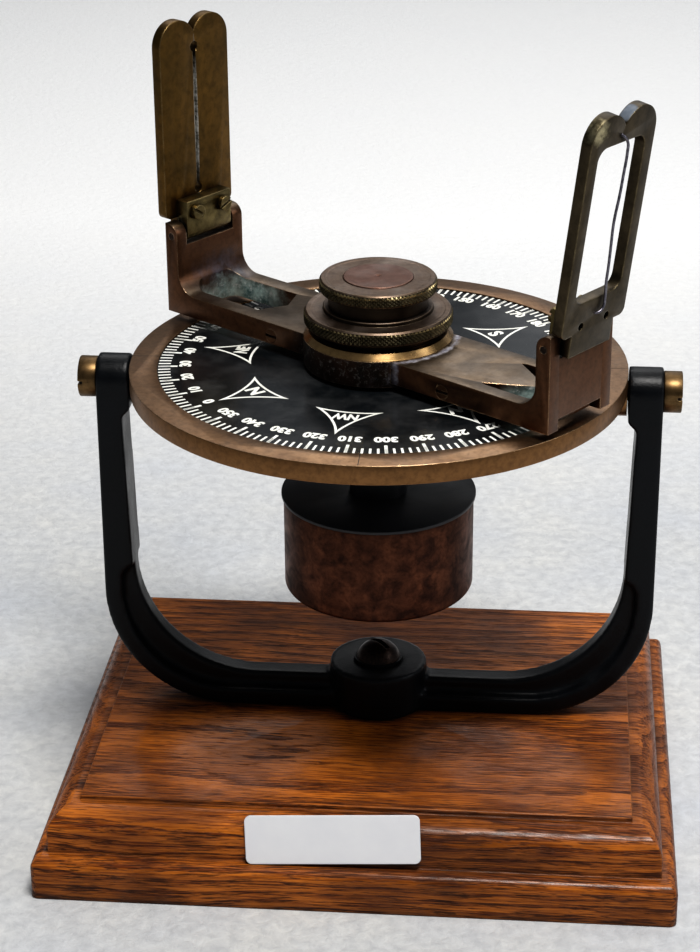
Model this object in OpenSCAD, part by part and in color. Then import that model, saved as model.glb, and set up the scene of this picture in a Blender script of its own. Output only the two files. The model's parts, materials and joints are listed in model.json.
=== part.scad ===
// Pelorus on a wooden stand: a dumb compass card in a gimballed ring, with a turning sight bar.
// Millimetres, +Z up. The origin is on the table, under the middle of the wooden base.
// The gimbal axis runs along X, and the near side of the stand faces -Y.

/* [Stand] */
// Length of the wooden base, along the gimbal axis
base_length = 259; // [250:1:300]
// Depth of the wooden base, front to back
base_depth = 217; // [190:1:260]
// Height of the base's straight side
base_side_height = 13; // [8:0.5:20]
// Radius of the round on the base's lower step
base_lower_round = 5; // [2:0.5:7]
// Width of the flat ledge above the lower round
base_ledge = 1.5; // [0.5:0.5:4]
// Height of the straight part of the middle step
base_middle_height = 8; // [5:0.5:12]
// Radius of the round on the base's middle step
base_middle_round = 10; // [4:0.5:12]
// Width of the flat between the middle round and the top panel
base_top_ledge = 2.1; // [0.5:0.1:4]
// Height of the top panel above the middle step
base_panel_step = 2.2; // [1:0.1:4]
// Radius of the base's upright corners
base_corner = 3; // [1:0.5:6]
// Length of the blank label card on the front moulding
label_length = 70; // [30:1:100]
// Height of the label card
label_height = 20.5; // [18:0.5:21]
// Thickness of the label card
label_thick = 0.8; // [0.4:0.1:1.5]
// Radius of the label card's corners
label_corner = 2.5; // [1:0.5:5]
// Place of the label card's middle along the front
label_place = -7; // [-40:1:40]
// Turn of the label card in its own plane, in degrees: its right end stands a little high
label_turn = 2.7; // [0:0.1:3]

/* [Yoke] */
// Height of the gimbal axis above the top of the base
pivot_rise = 146.6; // [142:0.5:180]
// Place of the yoke along the base, from the base's middle
yoke_place = 3; // [-5:0.5:5]
// Side play between the ring and each yoke boss
yoke_play = 0.4; // [0.3:0.1:1]
// Width of each yoke boss along the gimbal axis
pivot_boss_width = 14; // [12:0.5:18]
// Depth of the yoke arms, front to back, and of the bosses
yoke_depth = 20; // [18:0.2:24]
// Thickness of a yoke arm at its foot
yoke_arm_foot = 12.5; // [9:0.5:14]
// Thickness of a yoke arm under its boss
yoke_arm_head = 10.5; // [8:0.5:11.5]
// Height of the yoke's bottom bar
yoke_bar_height = 13.8; // [10:0.2:18]
// Radius of the yoke's outer corners
yoke_outer_round = 53; // [45:1:55]
// Radius of the yoke's inner corners
yoke_inner_round = 51; // [45:1:55]
// Thickness of the yoke's wide outer flange
yoke_flange = 7.5; // [5:0.5:9]
// Width of the raised rib inside the flange
yoke_rib_width = 10; // [8:0.5:14]
// How far each pivot boss reaches below the gimbal axis
boss_drop = 11; // [10.5:0.5:16]
// Diameter of the round boss in the middle of the bottom bar
foot_boss_d = 41.4; // [34:0.2:50]
// Height of that boss above the base
foot_boss_height = 20; // [17:0.1:26]
// Diameter of the sunk seat in the top of the foot boss
foot_seat_d = 21; // [18:0.5:26]
// Depth of that seat
foot_seat_depth = 1; // [0.5:0.1:2]
// Diameter of the wood screw that holds the yoke down
yoke_screw_d = 5; // [4:0.5:8]
// Diameter of the wood screw's round head
yoke_screw_head_d = 19; // [15:0.5:20]
// How far the slot in its head is turned, in degrees
yoke_screw_turn = -40; // [-90:5:90]
// How deep the wood screw goes into the base
yoke_screw_bite = 24; // [15:1:30]
// Thickness of the washer under the wood screw
yoke_washer_thick = 2.2; // [1.2:0.1:2.6]
// Diameter of a pivot screw's head
pivot_head_d = 17; // [14:0.5:20]
// Length of a pivot screw's head
pivot_head_length = 7.5; // [5:0.5:10]
// Diameter of a pivot screw's thread
pivot_thread_d = 12; // [9:0.5:14]
// Diameter of a pivot screw's plain tip
pivot_tip_d = 8; // [5:0.5:8.5]
// Length of a pivot screw's plain tip
pivot_tip_length = 10; // [8:0.5:10.5]

/* [Ring] */
// Outer diameter of the brass ring
ring_d = 203.2; // [190:0.2:210]
// Width of the ring's flat top
ring_width = 11.4; // [10.8:0.1:14]
// Thickness of the ring
ring_thick = 7.9; // [7.5:0.1:12]
// Tilt at which the ring hangs, in degrees: its near side is the lower one
ring_tilt = 1.45; // [0:0.05:3]
// How far the yoke's bosses stand above the ring's top
boss_proud = 0.45; // [0.2:0.05:1]
// How far the ring's inner ledge reaches in past its bore
ring_ledge_width = 6; // [5:0.5:9]
// Thickness of the ring's inner ledge
ring_ledge_thick = 2.5; // [2:0.1:3]
// Diameter of the pivot lugs under the ring
lug_d = 20.6; // [16:0.2:24]
// Length of a pivot lug along the gimbal axis
lug_length = 14; // [12.5:0.5:20]
// Thickness of the spider's arms
spider_thick = 4; // [3.5:0.1:4.2]
// Width of the spider's arms
spider_arm_width = 13; // [10:0.5:20]
// Diameter of the spider's hub
spider_hub_d = 36; // [30:1:44]
// Height of the spider's hub
spider_hub_height = 15; // [12:0.5:22]
// Diameter of the shank of the screws that hold the spider
spider_screw_d = 2.5; // [2:0.1:3]
// Diameter of the spindle that the card and the sights turn on
spindle_d = 12; // [9:0.5:14]

/* [Counterweight] */
// Diameter of the stem that carries the counterweight
stem_d = 24; // [18:0.5:30]
// Diameter of the counterweight's stud
stud_d = 12; // [8:0.5:14]
// Diameter of the black cap disc
cap_disc_d = 81.4; // [70:0.2:95]
// Thickness of the black cap disc
cap_disc_thick = 1.5; // [1:0.1:8]
// Height of the cap disc's top under the gimbal axis
cap_disc_drop = 47.8; // [40:0.1:55]
// Diameter of the counterweight
weight_d = 79.6; // [60:0.2:90]
// Height of the counterweight
weight_height = 41; // [25:0.5:44]
// Radius of the round on the counterweight's lower edge
weight_round = 2; // [0.5:0.5:6]
// Width of the nut under the counterweight, across its corners
weight_nut_d = 22; // [18:0.5:24]
// Thickness of that nut
weight_nut_thick = 7; // [5:0.5:10]

/* [Card] */
// Thickness of the compass card
card_thick = 2; // [1:0.1:2.2]
// How far the card's top lies below the ring's top
card_drop = 0.5; // [0.2:0.1:0.8]
// Gap between the card's edge and the ring
card_gap = 0.3; // [0.2:0.1:0.6]
// Diameter of the card's brass hub
card_hub_d = 26; // [20:0.5:30]
// Diameter of the hub's flange under the card
card_flange_d = 34; // [32:0.5:40]
// Thickness of that flange
card_flange_thick = 0.8; // [0.5:0.1:1.2]

/* [Sight bar] */
// Turn of the sight bar from the gimbal axis, in degrees
bar_angle = -36.5; // [-60:0.5:60]
// Half the length of the sight bar
bar_reach = 101.4; // [97:0.2:104]
// Width of the sight bar
bar_width = 39.4; // [36:0.2:39.4]
// Thickness of the sight bar's hub
bar_thick = 11.1; // [9:0.1:14]
// Thickness of the sight bar's two arms, whose tops are level with the hub's
arm_thick = 9.2; // [8:0.1:10]
// Gap between the ring's top and the sight bar's hub
bar_gap = 1.3; // [0.9:0.1:3]
// Diameter of the sight bar's hub
hub_d = 61; // [54:0.5:66]
// Height of the polished collar on the hub
collar_height = 2.6; // [1.5:0.1:4]
// How far the collar's chamfer draws in
collar_chamfer = 2.1; // [0.5:0.1:3]
// Thickness of the upright bracket at each end of the bar
bracket_thick = 6.6; // [6.5:0.1:9]
// Height of the brackets above the ring's top
bracket_rise = 42.4; // [40:0.1:50]
// Radius between the bar and each bracket
bracket_fillet = 9; // [5:0.5:11]
// Radius on the inner top edge of the bracket's ears
ear_round = 5; // [2:0.5:5.4]
// Width of the notch in the bracket's top
ear_gap = 28; // [27:0.2:30]
// Room left under the hinge block between the ears
ear_gap_room = 0.9; // [0.4:0.1:3]
// Width of the slot under each bracket
foot_slot_width = 27; // [20:0.5:30]
// Height of the slot under each bracket
foot_slot_height = 4.7; // [3:0.1:6]
// Depth of that slot, from the bracket's outer face
foot_slot_depth = 5; // [3:0.5:6.5]
// Width of the rear reading window
rear_window_width = 24; // [16:0.5:28]
// Distance from the centre to the rear window's point
rear_window_start = 50; // [42:0.5:60]
// Width of the front reading window
front_window_width = 27; // [20:0.5:29]
// Distance from the centre to the front window
front_window_start = 61.5; // [55:0.5:70]
// Length of the index pointer in the front window
pointer_length = 24; // [12:0.5:28]
// Radius of the windows' outer corners
window_round = 5; // [2:0.5:8]
// Wall left between a window and its bracket
window_wall = 1.6; // [0.8:0.1:4]
// Distance from the centre to the set screw in the front arm's side
front_screw_place = 49.5; // [40:0.5:56]
// Distance from the centre to the set screw in the rear arm's side
rear_screw_place = 41.5; // [38:0.5:56]
// Height of the set screws above the arms' underside
set_screw_rise = 3.4; // [3.2:0.1:5.5]
// Diameter of the set screws
set_screw_d = 6; // [4:0.5:7]
// Length of the set screws
set_screw_length = 6; // [4:0.5:7]

/* [Sight vanes] */
// Height of the vane hinges above the ring's top
hinge_rise = 37; // [35:0.1:38]
// Width of the vanes
vane_width = 39.4; // [36:0.2:40]
// Thickness of the vanes
vane_thick = 4.6; // [3:0.1:5]
// Height of the front vane above its hinge
front_vane_height = 93; // [88:0.2:94]
// Height of the rear vane above its hinge
rear_vane_height = 89.6; // [86:0.2:92]
// Radius of the two round lobes at a vane's top
vane_lobe = 10.4; // [10.1:0.1:11]
// Height of a vane's shoulders above its hinge
vane_foot = 6.4; // [6:0.1:8]
// Radius of the corners at a vane's shoulders
vane_foot_round = 3; // [1:0.5:5]
// How far the front vane leans outward at rest, in degrees
front_lean = 8; // [0:0.5:9]
// Diameter of the hinge pins
hinge_pin_d = 3; // [2:0.1:3.4]
// Width of the hinge blocks
block_width = 26; // [22:0.5:26.5]
// Thickness of the hinge blocks
block_thick = 5.8; // [5.4:0.1:6.6]
// Height of the hinge blocks above the pin
block_height = 14; // [12:0.5:18]
// How far the hinge block's inner face lies inside the pin's axis
block_inset = 3.3; // [3:0.1:3.4]
// Height of the vane screws above the pin
vane_screw_rise = 9; // [8:0.5:9.5]
// Distance between the two vane screws
vane_screw_spacing = 16; // [10:0.5:17]
// Diameter of the vane screws' heads
vane_screw_head_d = 6.4; // [5:0.2:7]
// Height of the vane screws' heads
vane_screw_head = 2.6; // [1.5:0.1:3]
// Diameter of the vane screws' shanks
vane_screw_d = 3; // [2:0.1:3.6]
// How far the vane screws' ends stop short of the vane's outer face
vane_screw_sunk = 1.6; // [0:0.1:3]
// Width of the sighting slit in the rear vane
slit_width = 1.6; // [0.6:0.1:2]
// Diameter of the holes at the slit's ends
slit_hole_d = 4.2; // [2.4:0.1:5]
// Height of the slit's lower hole above the hinge
slit_start = 16.2; // [16.2:0.2:24]
// Distance from the slit's upper hole to the vane's top
slit_margin = 12.4; // [12:0.2:30]
// Width of each upright of the front vane
upright_width = 5.3; // [4:0.1:8]
// Height of the front vane's window sill above the hinge
sill_rise = 19; // [17:0.5:24]
// Height of the metal over the front vane's window
vane_bridge = 12; // [11:0.5:30]
// Radius of the front vane's window corners
vane_window_round = 5; // [2:0.5:7]
// Diameter of the sighting wire
wire_d = 1.1; // [0.6:0.1:1.2]
// How far the wire's holes lie from the window's edges
wire_margin = 3; // [2:0.5:4]

/* [Clamp knobs] */
// Diameter of the lower knob
lower_knob_d = 60.8; // [52:0.2:66]
// Thickness of the lower knob's rim
lower_knob_thick = 6.1; // [5:0.1:6.5]
// Diameter of the raised middle of the lower knob
lower_boss_d = 45; // [42:0.5:52]
// Height of that middle above the rim
lower_boss_height = 1.5; // [0.5:0.1:1.9]
// Diameter of the lower knob's foot
lower_foot_d = 50; // [40:0.5:52]
// Height of the lower knob's foot
lower_foot_height = 2.8; // [1.5:0.1:3]
// Diameter of the upper knob
upper_knob_d = 48; // [42:0.5:56]
// Thickness of the upper knob's rim
upper_knob_thick = 5.4; // [3.6:0.1:5.5]
// Diameter of the upper knob's skirt
upper_skirt_d = 40.6; // [30:0.2:42]
// Height of the upper knob's skirt
upper_skirt_height = 6.2; // [4:0.1:6.3]
// Chamfer on the knobs' rims
knob_chamfer = 0.6; // [0.2:0.1:1]
// Diameter of the copper cap on the upper knob
knob_cap_d = 28.6; // [22:0.2:36]
// Thickness of the copper cap
knob_cap_thick = 1.4; // [1.1:0.1:1.6]
// How far the copper cap is sunk into the upper knob
knob_cap_sunk = 1; // [0.5:0.1:1.2]

/* [Fits] */
// Radial clearance of every pin, spindle and screw in its hole
fit = 0.05; // [0.03:0.01:0.1]
// Gap between parts that turn face to face
face_gap = 0.1; // [0.05:0.05:0.2]
// Depth of the slots in the screw heads
slot_depth = 1; // [0.5:0.1:1.5]
// Width of the slots in the screw heads
slot_width = 1.1; // [0.6:0.1:1.6]

/* [Hidden] */
$fn = 96;
// Extra length that a cutter runs past the face it opens
over = 1;
// Extra length that clears the whole part
clear = 400;

base_top = base_side_height + base_lower_round + base_middle_height + base_middle_round + base_panel_step;
base_inset_middle = base_lower_round + base_ledge;
base_inset_panel = base_inset_middle + base_middle_round + base_top_ledge;

pivot_z = base_top + pivot_rise;
ring_r = ring_d / 2;
ring_rise = yoke_depth / 2 - boss_proud;
ring_bore_r = ring_r - ring_width;
ring_top = pivot_z + ring_rise;
ring_bottom = ring_top - ring_thick;
ledge_top = ring_bottom + ring_ledge_thick;
ledge_r = ring_bore_r - ring_ledge_width;

boss_inner_x = ring_r + yoke_play;
yoke_half = boss_inner_x + pivot_boss_width;
yoke_round_x = yoke_half - yoke_arm_foot - yoke_inner_round;
yoke_bar_top = base_top + yoke_bar_height;
yoke_round_z = yoke_bar_top + yoke_inner_round;
boss_bottom = pivot_z - boss_drop - (pivot_boss_width - yoke_arm_head);
foot_boss_top = base_top + foot_boss_height;
foot_seat_z = foot_boss_top - foot_seat_depth;
washer_top = foot_seat_z + yoke_washer_thick;

card_r = ring_bore_r - card_gap;
card_top = ring_top - card_drop;
card_bottom = card_top - card_thick;
spider_top = card_bottom - card_flange_thick - face_gap;
spider_bottom = spider_top - spider_thick;
spider_tip_r = ring_bore_r - card_gap;
spider_hub_bottom = spider_top - spider_hub_height;
spider_screw_r = (ledge_r + ring_bore_r) / 2;
spider_screw_head_d = 2 * spider_screw_d;
spider_screw_head = spider_screw_d / 2;

cap_disc_top = pivot_z - cap_disc_drop;
weight_top = cap_disc_top - cap_disc_thick;
weight_bottom = weight_top - weight_height;
nut_room = weight_nut_thick + 1;

bar_bottom = ring_top + bar_gap;
bar_top = bar_bottom + bar_thick;
arm_bottom = bar_top - arm_thick;
bracket_top = ring_top + bracket_rise;
bracket_inner = bar_reach - bracket_thick;
hinge_x = bar_reach - bracket_thick / 2;
hinge_z = ring_top + hinge_rise;
ear_gap_floor = hinge_z - block_inset - ear_gap_room;
window_end = bracket_inner - window_wall;
collar_top = bar_top + collar_height;

lower_foot_z = collar_top + face_gap;
lower_rim_z = lower_foot_z + lower_foot_height;
lower_top = lower_rim_z + lower_knob_thick + lower_boss_height;
upper_skirt_z = lower_top + face_gap;
upper_rim_z = upper_skirt_z + upper_skirt_height;
upper_top = upper_rim_z + upper_knob_thick;
knob_cap_z = upper_top - knob_cap_sunk;
spindle_top = knob_cap_z - 2;

vane_inner = block_thick - block_inset;
vane_tongue = block_inset + ear_gap_room - 1.3;
slit_end = rear_vane_height - slit_margin;
wire_t = vane_inner + vane_thick;
wire_low = sill_rise - 2.2 * wire_margin;
vane_window_height = front_vane_height - vane_bridge - sill_rise;
wire_high = sill_rise + vane_window_height + wire_margin;
// Sides of the wire's section
wire_sides = 10;
// The wire's bends, as sideways place and height above the hinge: it was bent by hand
wire_bends = [[-1.5, wire_high], [1.2, wire_high - wire_margin], [2, wire_high - 6.8], [1.9, wire_high - 16],
    [1.7, wire_high - 23.5], [0.8, sill_rise + 30.5], [1.5, sill_rise + 21], [2.2, sill_rise + 12],
    [2.4, sill_rise + 6], [3.4, sill_rise - 0.4 * wire_margin], [3.1, sill_rise - 1.6 * wire_margin],
    [0.4, wire_low]];
wire_last = len(wire_bends) - 1;

// Helpers

// A cylinder lying along X, from x to x + length
module rod_x(x, length, d) {
    translate([x, 0, 0]) rotate([0, 90, 0]) cylinder(h = length, d = d);
}

// The children and their mirror image on the other side of the gimbal's middle
module both_ends() {
    for (side = [0, 1]) mirror([side, 0, 0]) children();
}

// The children at the yoke's place on the base
module on_stand() {
    translate([yoke_place, 0, 0]) children();
}

// The children carried by the ring, which hangs at its tilt
module on_gimbal() {
    on_stand() translate([0, 0, pivot_z]) rotate([ring_tilt, 0, 0]) translate([0, 0, -pivot_z]) children();
}

// The children turned with the sight bar
module on_bar() {
    on_gimbal() rotate([0, 0, bar_angle]) children();
}

// A square corner with a hollow round in it, for adding a fillet at the origin's upper right
module fillet_2d(r) {
    difference() {
        square(r);
        translate([r, r]) circle(r);
    }
}

// A rectangle centred on X, standing on Y = 0, with its four corners rounded
module rounded_rect(w, h, r) {
    translate([-w / 2, r]) square([w, h - 2 * r]);
    translate([-w / 2 + r, 0]) square([w - 2 * r, h]);
    for (x = [-w / 2 + r, w / 2 - r], y = [r, h - r]) translate([x, y]) circle(r);
}

// Wooden stand

// Half of the base's section: straight side, lower round, middle round and top panel
module base_half_section(half) {
    lower_z = base_side_height + base_lower_round;
    middle_z = lower_z + base_middle_height;
    step_z = middle_z + base_middle_round;
    square([half, base_side_height]);
    square([half - base_lower_round, lower_z]);
    translate([half - base_lower_round, base_side_height]) circle(base_lower_round);
    square([half - base_inset_middle, middle_z]);
    square([half - base_inset_middle - base_middle_round, step_z]);
    translate([half - base_inset_middle - base_middle_round, middle_z]) circle(base_middle_round);
    square([half - base_inset_panel, base_top]);
}

// The base's whole section, swept straight along the other side
module base_sweep(width, length) {
    rotate([90, 0, 0]) linear_extrude(length, center = true) {
        base_half_section(width / 2);
        mirror([1, 0]) base_half_section(width / 2);
    }
}

module base_board() {
    color("sienna") difference() {
        intersection() {
            base_sweep(base_length, base_depth);
            rotate([0, 0, 90]) base_sweep(base_depth, base_length);
            translate([0, -base_depth / 2, 0]) linear_extrude(base_top)
                rounded_rect(base_length, base_depth, base_corner);
        }
        on_stand() translate([0, 0, base_top - yoke_screw_bite - fit])
            cylinder(h = yoke_screw_bite + over, d = yoke_screw_d + 2 * fit);
    }
}

// The card rests with a lower corner on the ledge and its back on the middle round
module label_card() {
    ledge_z = base_side_height + base_lower_round;
    round_y = base_inset_middle + base_middle_round;
    round_z = base_middle_height;
    // Slope of the line from the lower edge that just touches the round
    reach = sqrt(pow(round_y - base_lower_round, 2) + pow(round_z, 2));
    lean = atan2(round_z, round_y - base_lower_round) + asin(base_middle_round / reach);
    color("white") translate([label_place - label_length / 2, -base_depth / 2 + base_lower_round, ledge_z])
        rotate([lean, 0, 0]) rotate([0, 0, label_turn]) translate([label_length / 2, 0, 0])
            linear_extrude(label_thick) rounded_rect(label_length, label_height, label_corner);
}

// Yoke

module yoke_outline() {
    difference() {
        translate([-yoke_half, base_top]) square([2 * yoke_half, pivot_rise]);
        both_ends() translate([-yoke_half, base_top]) fillet_2d(yoke_outer_round);
    }
}

// The open inside of the U, which widens a little from the arms' feet to their heads
module yoke_opening() {
    head_x = yoke_half - yoke_arm_head;
    foot_x = yoke_round_x + yoke_inner_round;
    translate([-yoke_round_x, yoke_bar_top]) square([2 * yoke_round_x, pivot_rise]);
    both_ends() {
        translate([yoke_round_x, yoke_round_z]) circle(yoke_inner_round);
        polygon([[0, yoke_round_z], [foot_x, yoke_round_z], [head_x, boss_bottom],
            [head_x, pivot_z + over], [0, pivot_z + over]]);
    }
}

// The hollow between the flange and the rib's inner edge, on both faces of the yoke's lower part
module yoke_recess() {
    inner_round = yoke_outer_round - yoke_flange;
    x = yoke_half - yoke_flange;
    z = base_top + yoke_flange;
    difference() {
        translate([-x, z]) square([2 * x, yoke_round_z - z]);
        both_ends() translate([-x, z]) fillet_2d(inner_round);
        both_ends() translate([x, yoke_round_z]) rotate(180) fillet_2d(yoke_flange);
    }
}

module yoke_arm_head_profile() {
    polygon([[yoke_half, pivot_z], [boss_inner_x, pivot_z], [boss_inner_x, pivot_z - boss_drop],
        [yoke_half - yoke_arm_head, boss_bottom], [yoke_half, boss_bottom]]);
}

module yoke() {
    color([0.08, 0.08, 0.09]) on_stand() difference() {
        union() {
            rotate([90, 0, 0]) linear_extrude(yoke_depth, center = true) difference() {
                yoke_outline();
                yoke_opening();
                yoke_recess();
            }
            rotate([90, 0, 0]) linear_extrude(yoke_rib_width, center = true) difference() {
                yoke_outline();
                yoke_opening();
            }
            both_ends() {
                rotate([90, 0, 0]) linear_extrude(yoke_depth, center = true) yoke_arm_head_profile();
                translate([0, 0, pivot_z]) rod_x(boss_inner_x, pivot_boss_width, yoke_depth);
            }
            translate([0, 0, base_top]) cylinder(h = foot_boss_height, d = foot_boss_d);
        }
        both_ends() translate([0, 0, pivot_z])
            rod_x(boss_inner_x - over, pivot_boss_width + 2 * over, pivot_thread_d + 2 * fit);
        translate([0, 0, foot_seat_z]) cylinder(h = foot_seat_depth + over, d = foot_seat_d);
        translate([0, 0, base_top - over])
            cylinder(h = foot_boss_height + 2 * over, d = yoke_screw_d + 2 * fit);
    }
}

module yoke_washer() {
    color("dimgray") on_stand() translate([0, 0, foot_seat_z]) difference() {
        cylinder(h = yoke_washer_thick, d = foot_seat_d - 6 * face_gap);
        translate([0, 0, -over]) cylinder(h = yoke_washer_thick + 2 * over, d = yoke_screw_d + 2 * fit);
    }
}

// A round-headed wood screw with a slotted head
module yoke_screw() {
    head_r = yoke_screw_head_d / 2;
    dome_r = head_r * 1.04;
    dome_drop = sqrt(dome_r * dome_r - head_r * head_r);
    color([0.3, 0.18, 0.1]) on_stand() translate([0, 0, washer_top]) difference() {
        union() {
            intersection() {
                translate([0, 0, -dome_drop]) sphere(dome_r);
                cylinder(h = head_r * 2, r = head_r);
            }
            translate([0, 0, base_top - yoke_screw_bite - washer_top])
                cylinder(h = washer_top - base_top + yoke_screw_bite + fit, d = yoke_screw_d);
        }
        rotate([0, 0, yoke_screw_turn]) translate([-head_r - over, -slot_width, dome_r - dome_drop - 2 * slot_depth])
            cube([yoke_screw_head_d + 2 * over, 2 * slot_width, 3 * slot_depth]);
    }
}

// Slotted screws whose plain tips carry the ring
module pivot_screws() {
    tip_x = boss_inner_x - pivot_tip_length;
    color("goldenrod") on_stand() both_ends() translate([0, 0, pivot_z]) difference() {
        union() {
            rod_x(tip_x, pivot_tip_length + over, pivot_tip_d);
            rod_x(boss_inner_x, pivot_boss_width, pivot_thread_d);
            rod_x(yoke_half, pivot_head_length, pivot_head_d);
        }
        translate([yoke_half + pivot_head_length - 2 * slot_depth, -pivot_head_d / 2 - over, -slot_width / 2])
            cube([2 * slot_depth + over, pivot_head_d + 2 * over, slot_width]);
    }
}

// Gimballed ring

module compass_ring() {
    lug_x = ring_r - lug_length;
    color([0.5, 0.36, 0.2]) on_gimbal() difference() {
        union() {
            translate([0, 0, ring_bottom]) cylinder(h = ring_thick, r = ring_r, $fn = 180);
            intersection() {
                both_ends() translate([0, 0, pivot_z]) rod_x(lug_x, lug_length, lug_d);
                translate([0, 0, ring_bottom - lug_d]) cylinder(h = lug_d + over, r = ring_r, $fn = 180);
            }
        }
        translate([0, 0, ledge_top]) cylinder(h = ring_thick + over, r = ring_bore_r, $fn = 180);
        translate([0, 0, ring_bottom]) cylinder(h = ring_thick, r = ledge_r, $fn = 180);
        both_ends() translate([0, 0, pivot_z])
            rod_x(boss_inner_x - pivot_tip_length - face_gap, pivot_tip_length + over, pivot_tip_d + 2 * fit);
        spider_screw_places() cylinder(h = ring_thick, d = spider_screw_d + 2 * fit, center = true);
    }
}

// The children at the four places where the spider is screwed to the ring's ledge
module spider_screw_places() {
    for (turn = [45:90:315]) rotate([0, 0, turn]) translate([spider_screw_r, 0, ledge_top]) children();
}

// A four-armed casting that joins the ring, the spindle and the stem
module ring_spider() {
    color([0.12, 0.12, 0.12]) on_gimbal() difference() {
        union() {
            intersection() {
                for (turn = [45, 135]) rotate([0, 0, turn])
                    translate([-clear / 2, -spider_arm_width / 2, spider_bottom])
                        cube([clear, spider_arm_width, spider_thick]);
                union() {
                    translate([0, 0, spider_bottom - over])
                        cylinder(h = spider_thick + 2 * over, r = ledge_r - card_gap, $fn = 180);
                    translate([0, 0, ledge_top])
                        cylinder(h = spider_top - ledge_top, r = spider_tip_r, $fn = 180);
                }
            }
            translate([0, 0, spider_hub_bottom]) cylinder(h = spider_hub_height, d = spider_hub_d);
        }
        translate([0, 0, spider_hub_bottom - over])
            cylinder(h = spider_hub_height + 2 * over, d = spindle_d + 2 * fit);
        spider_screw_places() {
            cylinder(h = ring_thick, d = spider_screw_d + 2 * fit, center = true);
            translate([0, 0, spider_top - ledge_top - spider_screw_head])
                cylinder(h = spider_screw_head + over, d = spider_screw_head_d + 2 * fit);
        }
    }
}

module spider_screws() {
    color("goldenrod") on_gimbal() spider_screw_places() difference() {
        union() {
            translate([0, 0, spider_top - ledge_top - spider_screw_head])
                cylinder(h = spider_screw_head, d = spider_screw_head_d);
            translate([0, 0, -ring_ledge_thick])
                cylinder(h = spider_top - ledge_top + ring_ledge_thick - fit, d = spider_screw_d);
        }
        translate([-spider_screw_d - over, -slot_width / 4, spider_top - ledge_top - slot_depth / 2])
            cube([spider_screw_head_d + 2 * over, slot_width / 2, slot_depth]);
    }
}

// The upright pin that the card, the sight bar and both knobs turn on
module spindle() {
    color("goldenrod") on_gimbal() translate([0, 0, spider_hub_bottom])
        cylinder(h = spindle_top - spider_hub_bottom, d = spindle_d);
}

// Counterweight

module weight_stem() {
    color([0.1, 0.1, 0.1]) on_gimbal() {
        translate([0, 0, cap_disc_top]) cylinder(h = spider_hub_bottom - cap_disc_top, d = stem_d);
        translate([0, 0, weight_bottom + 1]) cylinder(h = cap_disc_top - weight_bottom, d = stud_d);
    }
}

module weight_cap() {
    color([0.1, 0.1, 0.1]) on_gimbal() difference() {
        translate([0, 0, weight_top]) cylinder(h = cap_disc_thick, d = cap_disc_d);
        translate([0, 0, weight_top - over]) cylinder(h = cap_disc_thick + 2 * over, d = stud_d + 2 * fit);
    }
}

module counterweight() {
    r = weight_d / 2;
    color([0.45, 0.25, 0.17]) on_gimbal() difference() {
        translate([0, 0, weight_bottom]) rotate_extrude($fn = 120) {
            square([r - weight_round, weight_height]);
            translate([0, weight_round]) square([r, weight_height - weight_round]);
            translate([r - weight_round, weight_round]) circle(weight_round);
        }
        translate([0, 0, weight_bottom - over]) {
            cylinder(h = weight_height + 2 * over, d = stud_d + 2 * fit);
            cylinder(h = nut_room + over, d = weight_nut_d + 2);
        }
    }
}

module weight_nut() {
    color("goldenrod") on_gimbal() difference() {
        translate([0, 0, weight_bottom + 1]) cylinder(h = weight_nut_thick, d = weight_nut_d, $fn = 6);
        cylinder(h = weight_top, d = stud_d + 2 * fit);
    }
}

// Compass card

module compass_card() {
    color([0.06, 0.06, 0.06]) on_gimbal() difference() {
        translate([0, 0, card_bottom]) cylinder(h = card_thick, r = card_r, $fn = 180);
        translate([0, 0, card_bottom - over]) cylinder(h = card_thick + 2 * over, d = card_hub_d + 2 * fit);
    }
}

module card_hub() {
    low = spider_top + face_gap;
    height = bar_bottom - face_gap - low;
    color("goldenrod") on_gimbal() difference() {
        union() {
            translate([0, 0, low]) cylinder(h = height, d = card_hub_d);
            translate([0, 0, low]) cylinder(h = card_flange_thick, d = card_flange_d);
        }
        translate([0, 0, low - over]) cylinder(h = height + 2 * over, d = spindle_d + 2 * fit);
    }
}

// Sight bar

// The opening in the rear arm: pointed towards the hub, with round outer corners
module rear_window_2d() {
    half = rear_window_width / 2;
    shoulder = rear_window_start + half / 2;
    polygon([[rear_window_start, 0], [shoulder, half], [window_end - window_round, half],
        [window_end - window_round, -half], [shoulder, -half]]);
    translate([shoulder, 0]) rotate(-90) rounded_rect(rear_window_width, window_end - shoulder, window_round);
}

// The opening in the front arm, which leaves a pointer standing in it
module front_window_2d() {
    half = front_window_width / 2;
    difference() {
        translate([front_window_start, 0]) rotate(-90)
            rounded_rect(front_window_width, window_end - front_window_start, window_round);
        polygon([[front_window_start - over, half + over], [front_window_start + pointer_length, 0],
            [front_window_start - over, -half - over]]);
    }
}

// The bar's side view at one end: arm, upright bracket, fillet and rounded ear top
module bar_end_profile() {
    translate([0, arm_bottom]) square([bar_reach, arm_thick]);
    difference() {
        translate([bracket_inner, arm_bottom]) square([bracket_thick, bracket_top - arm_bottom]);
        translate([bracket_inner, bracket_top]) mirror([0, 1]) fillet_2d(ear_round);
    }
    translate([bracket_inner, bar_top]) mirror([1, 0]) fillet_2d(bracket_fillet);
}

module bar_end_cuts() {
    translate([bracket_inner - over, -ear_gap / 2, ear_gap_floor])
        cube([bracket_thick + 2 * over, ear_gap, bracket_top - ear_gap_floor + over]);
    translate([bar_reach - foot_slot_depth, -foot_slot_width / 2, arm_bottom - over])
        cube([foot_slot_depth + over, foot_slot_width, foot_slot_height + over]);
    translate([hinge_x, 0, hinge_z]) rotate([90, 0, 0])
        cylinder(h = bar_width + 2 * over, d = hinge_pin_d + 2 * fit, center = true);
}

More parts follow.
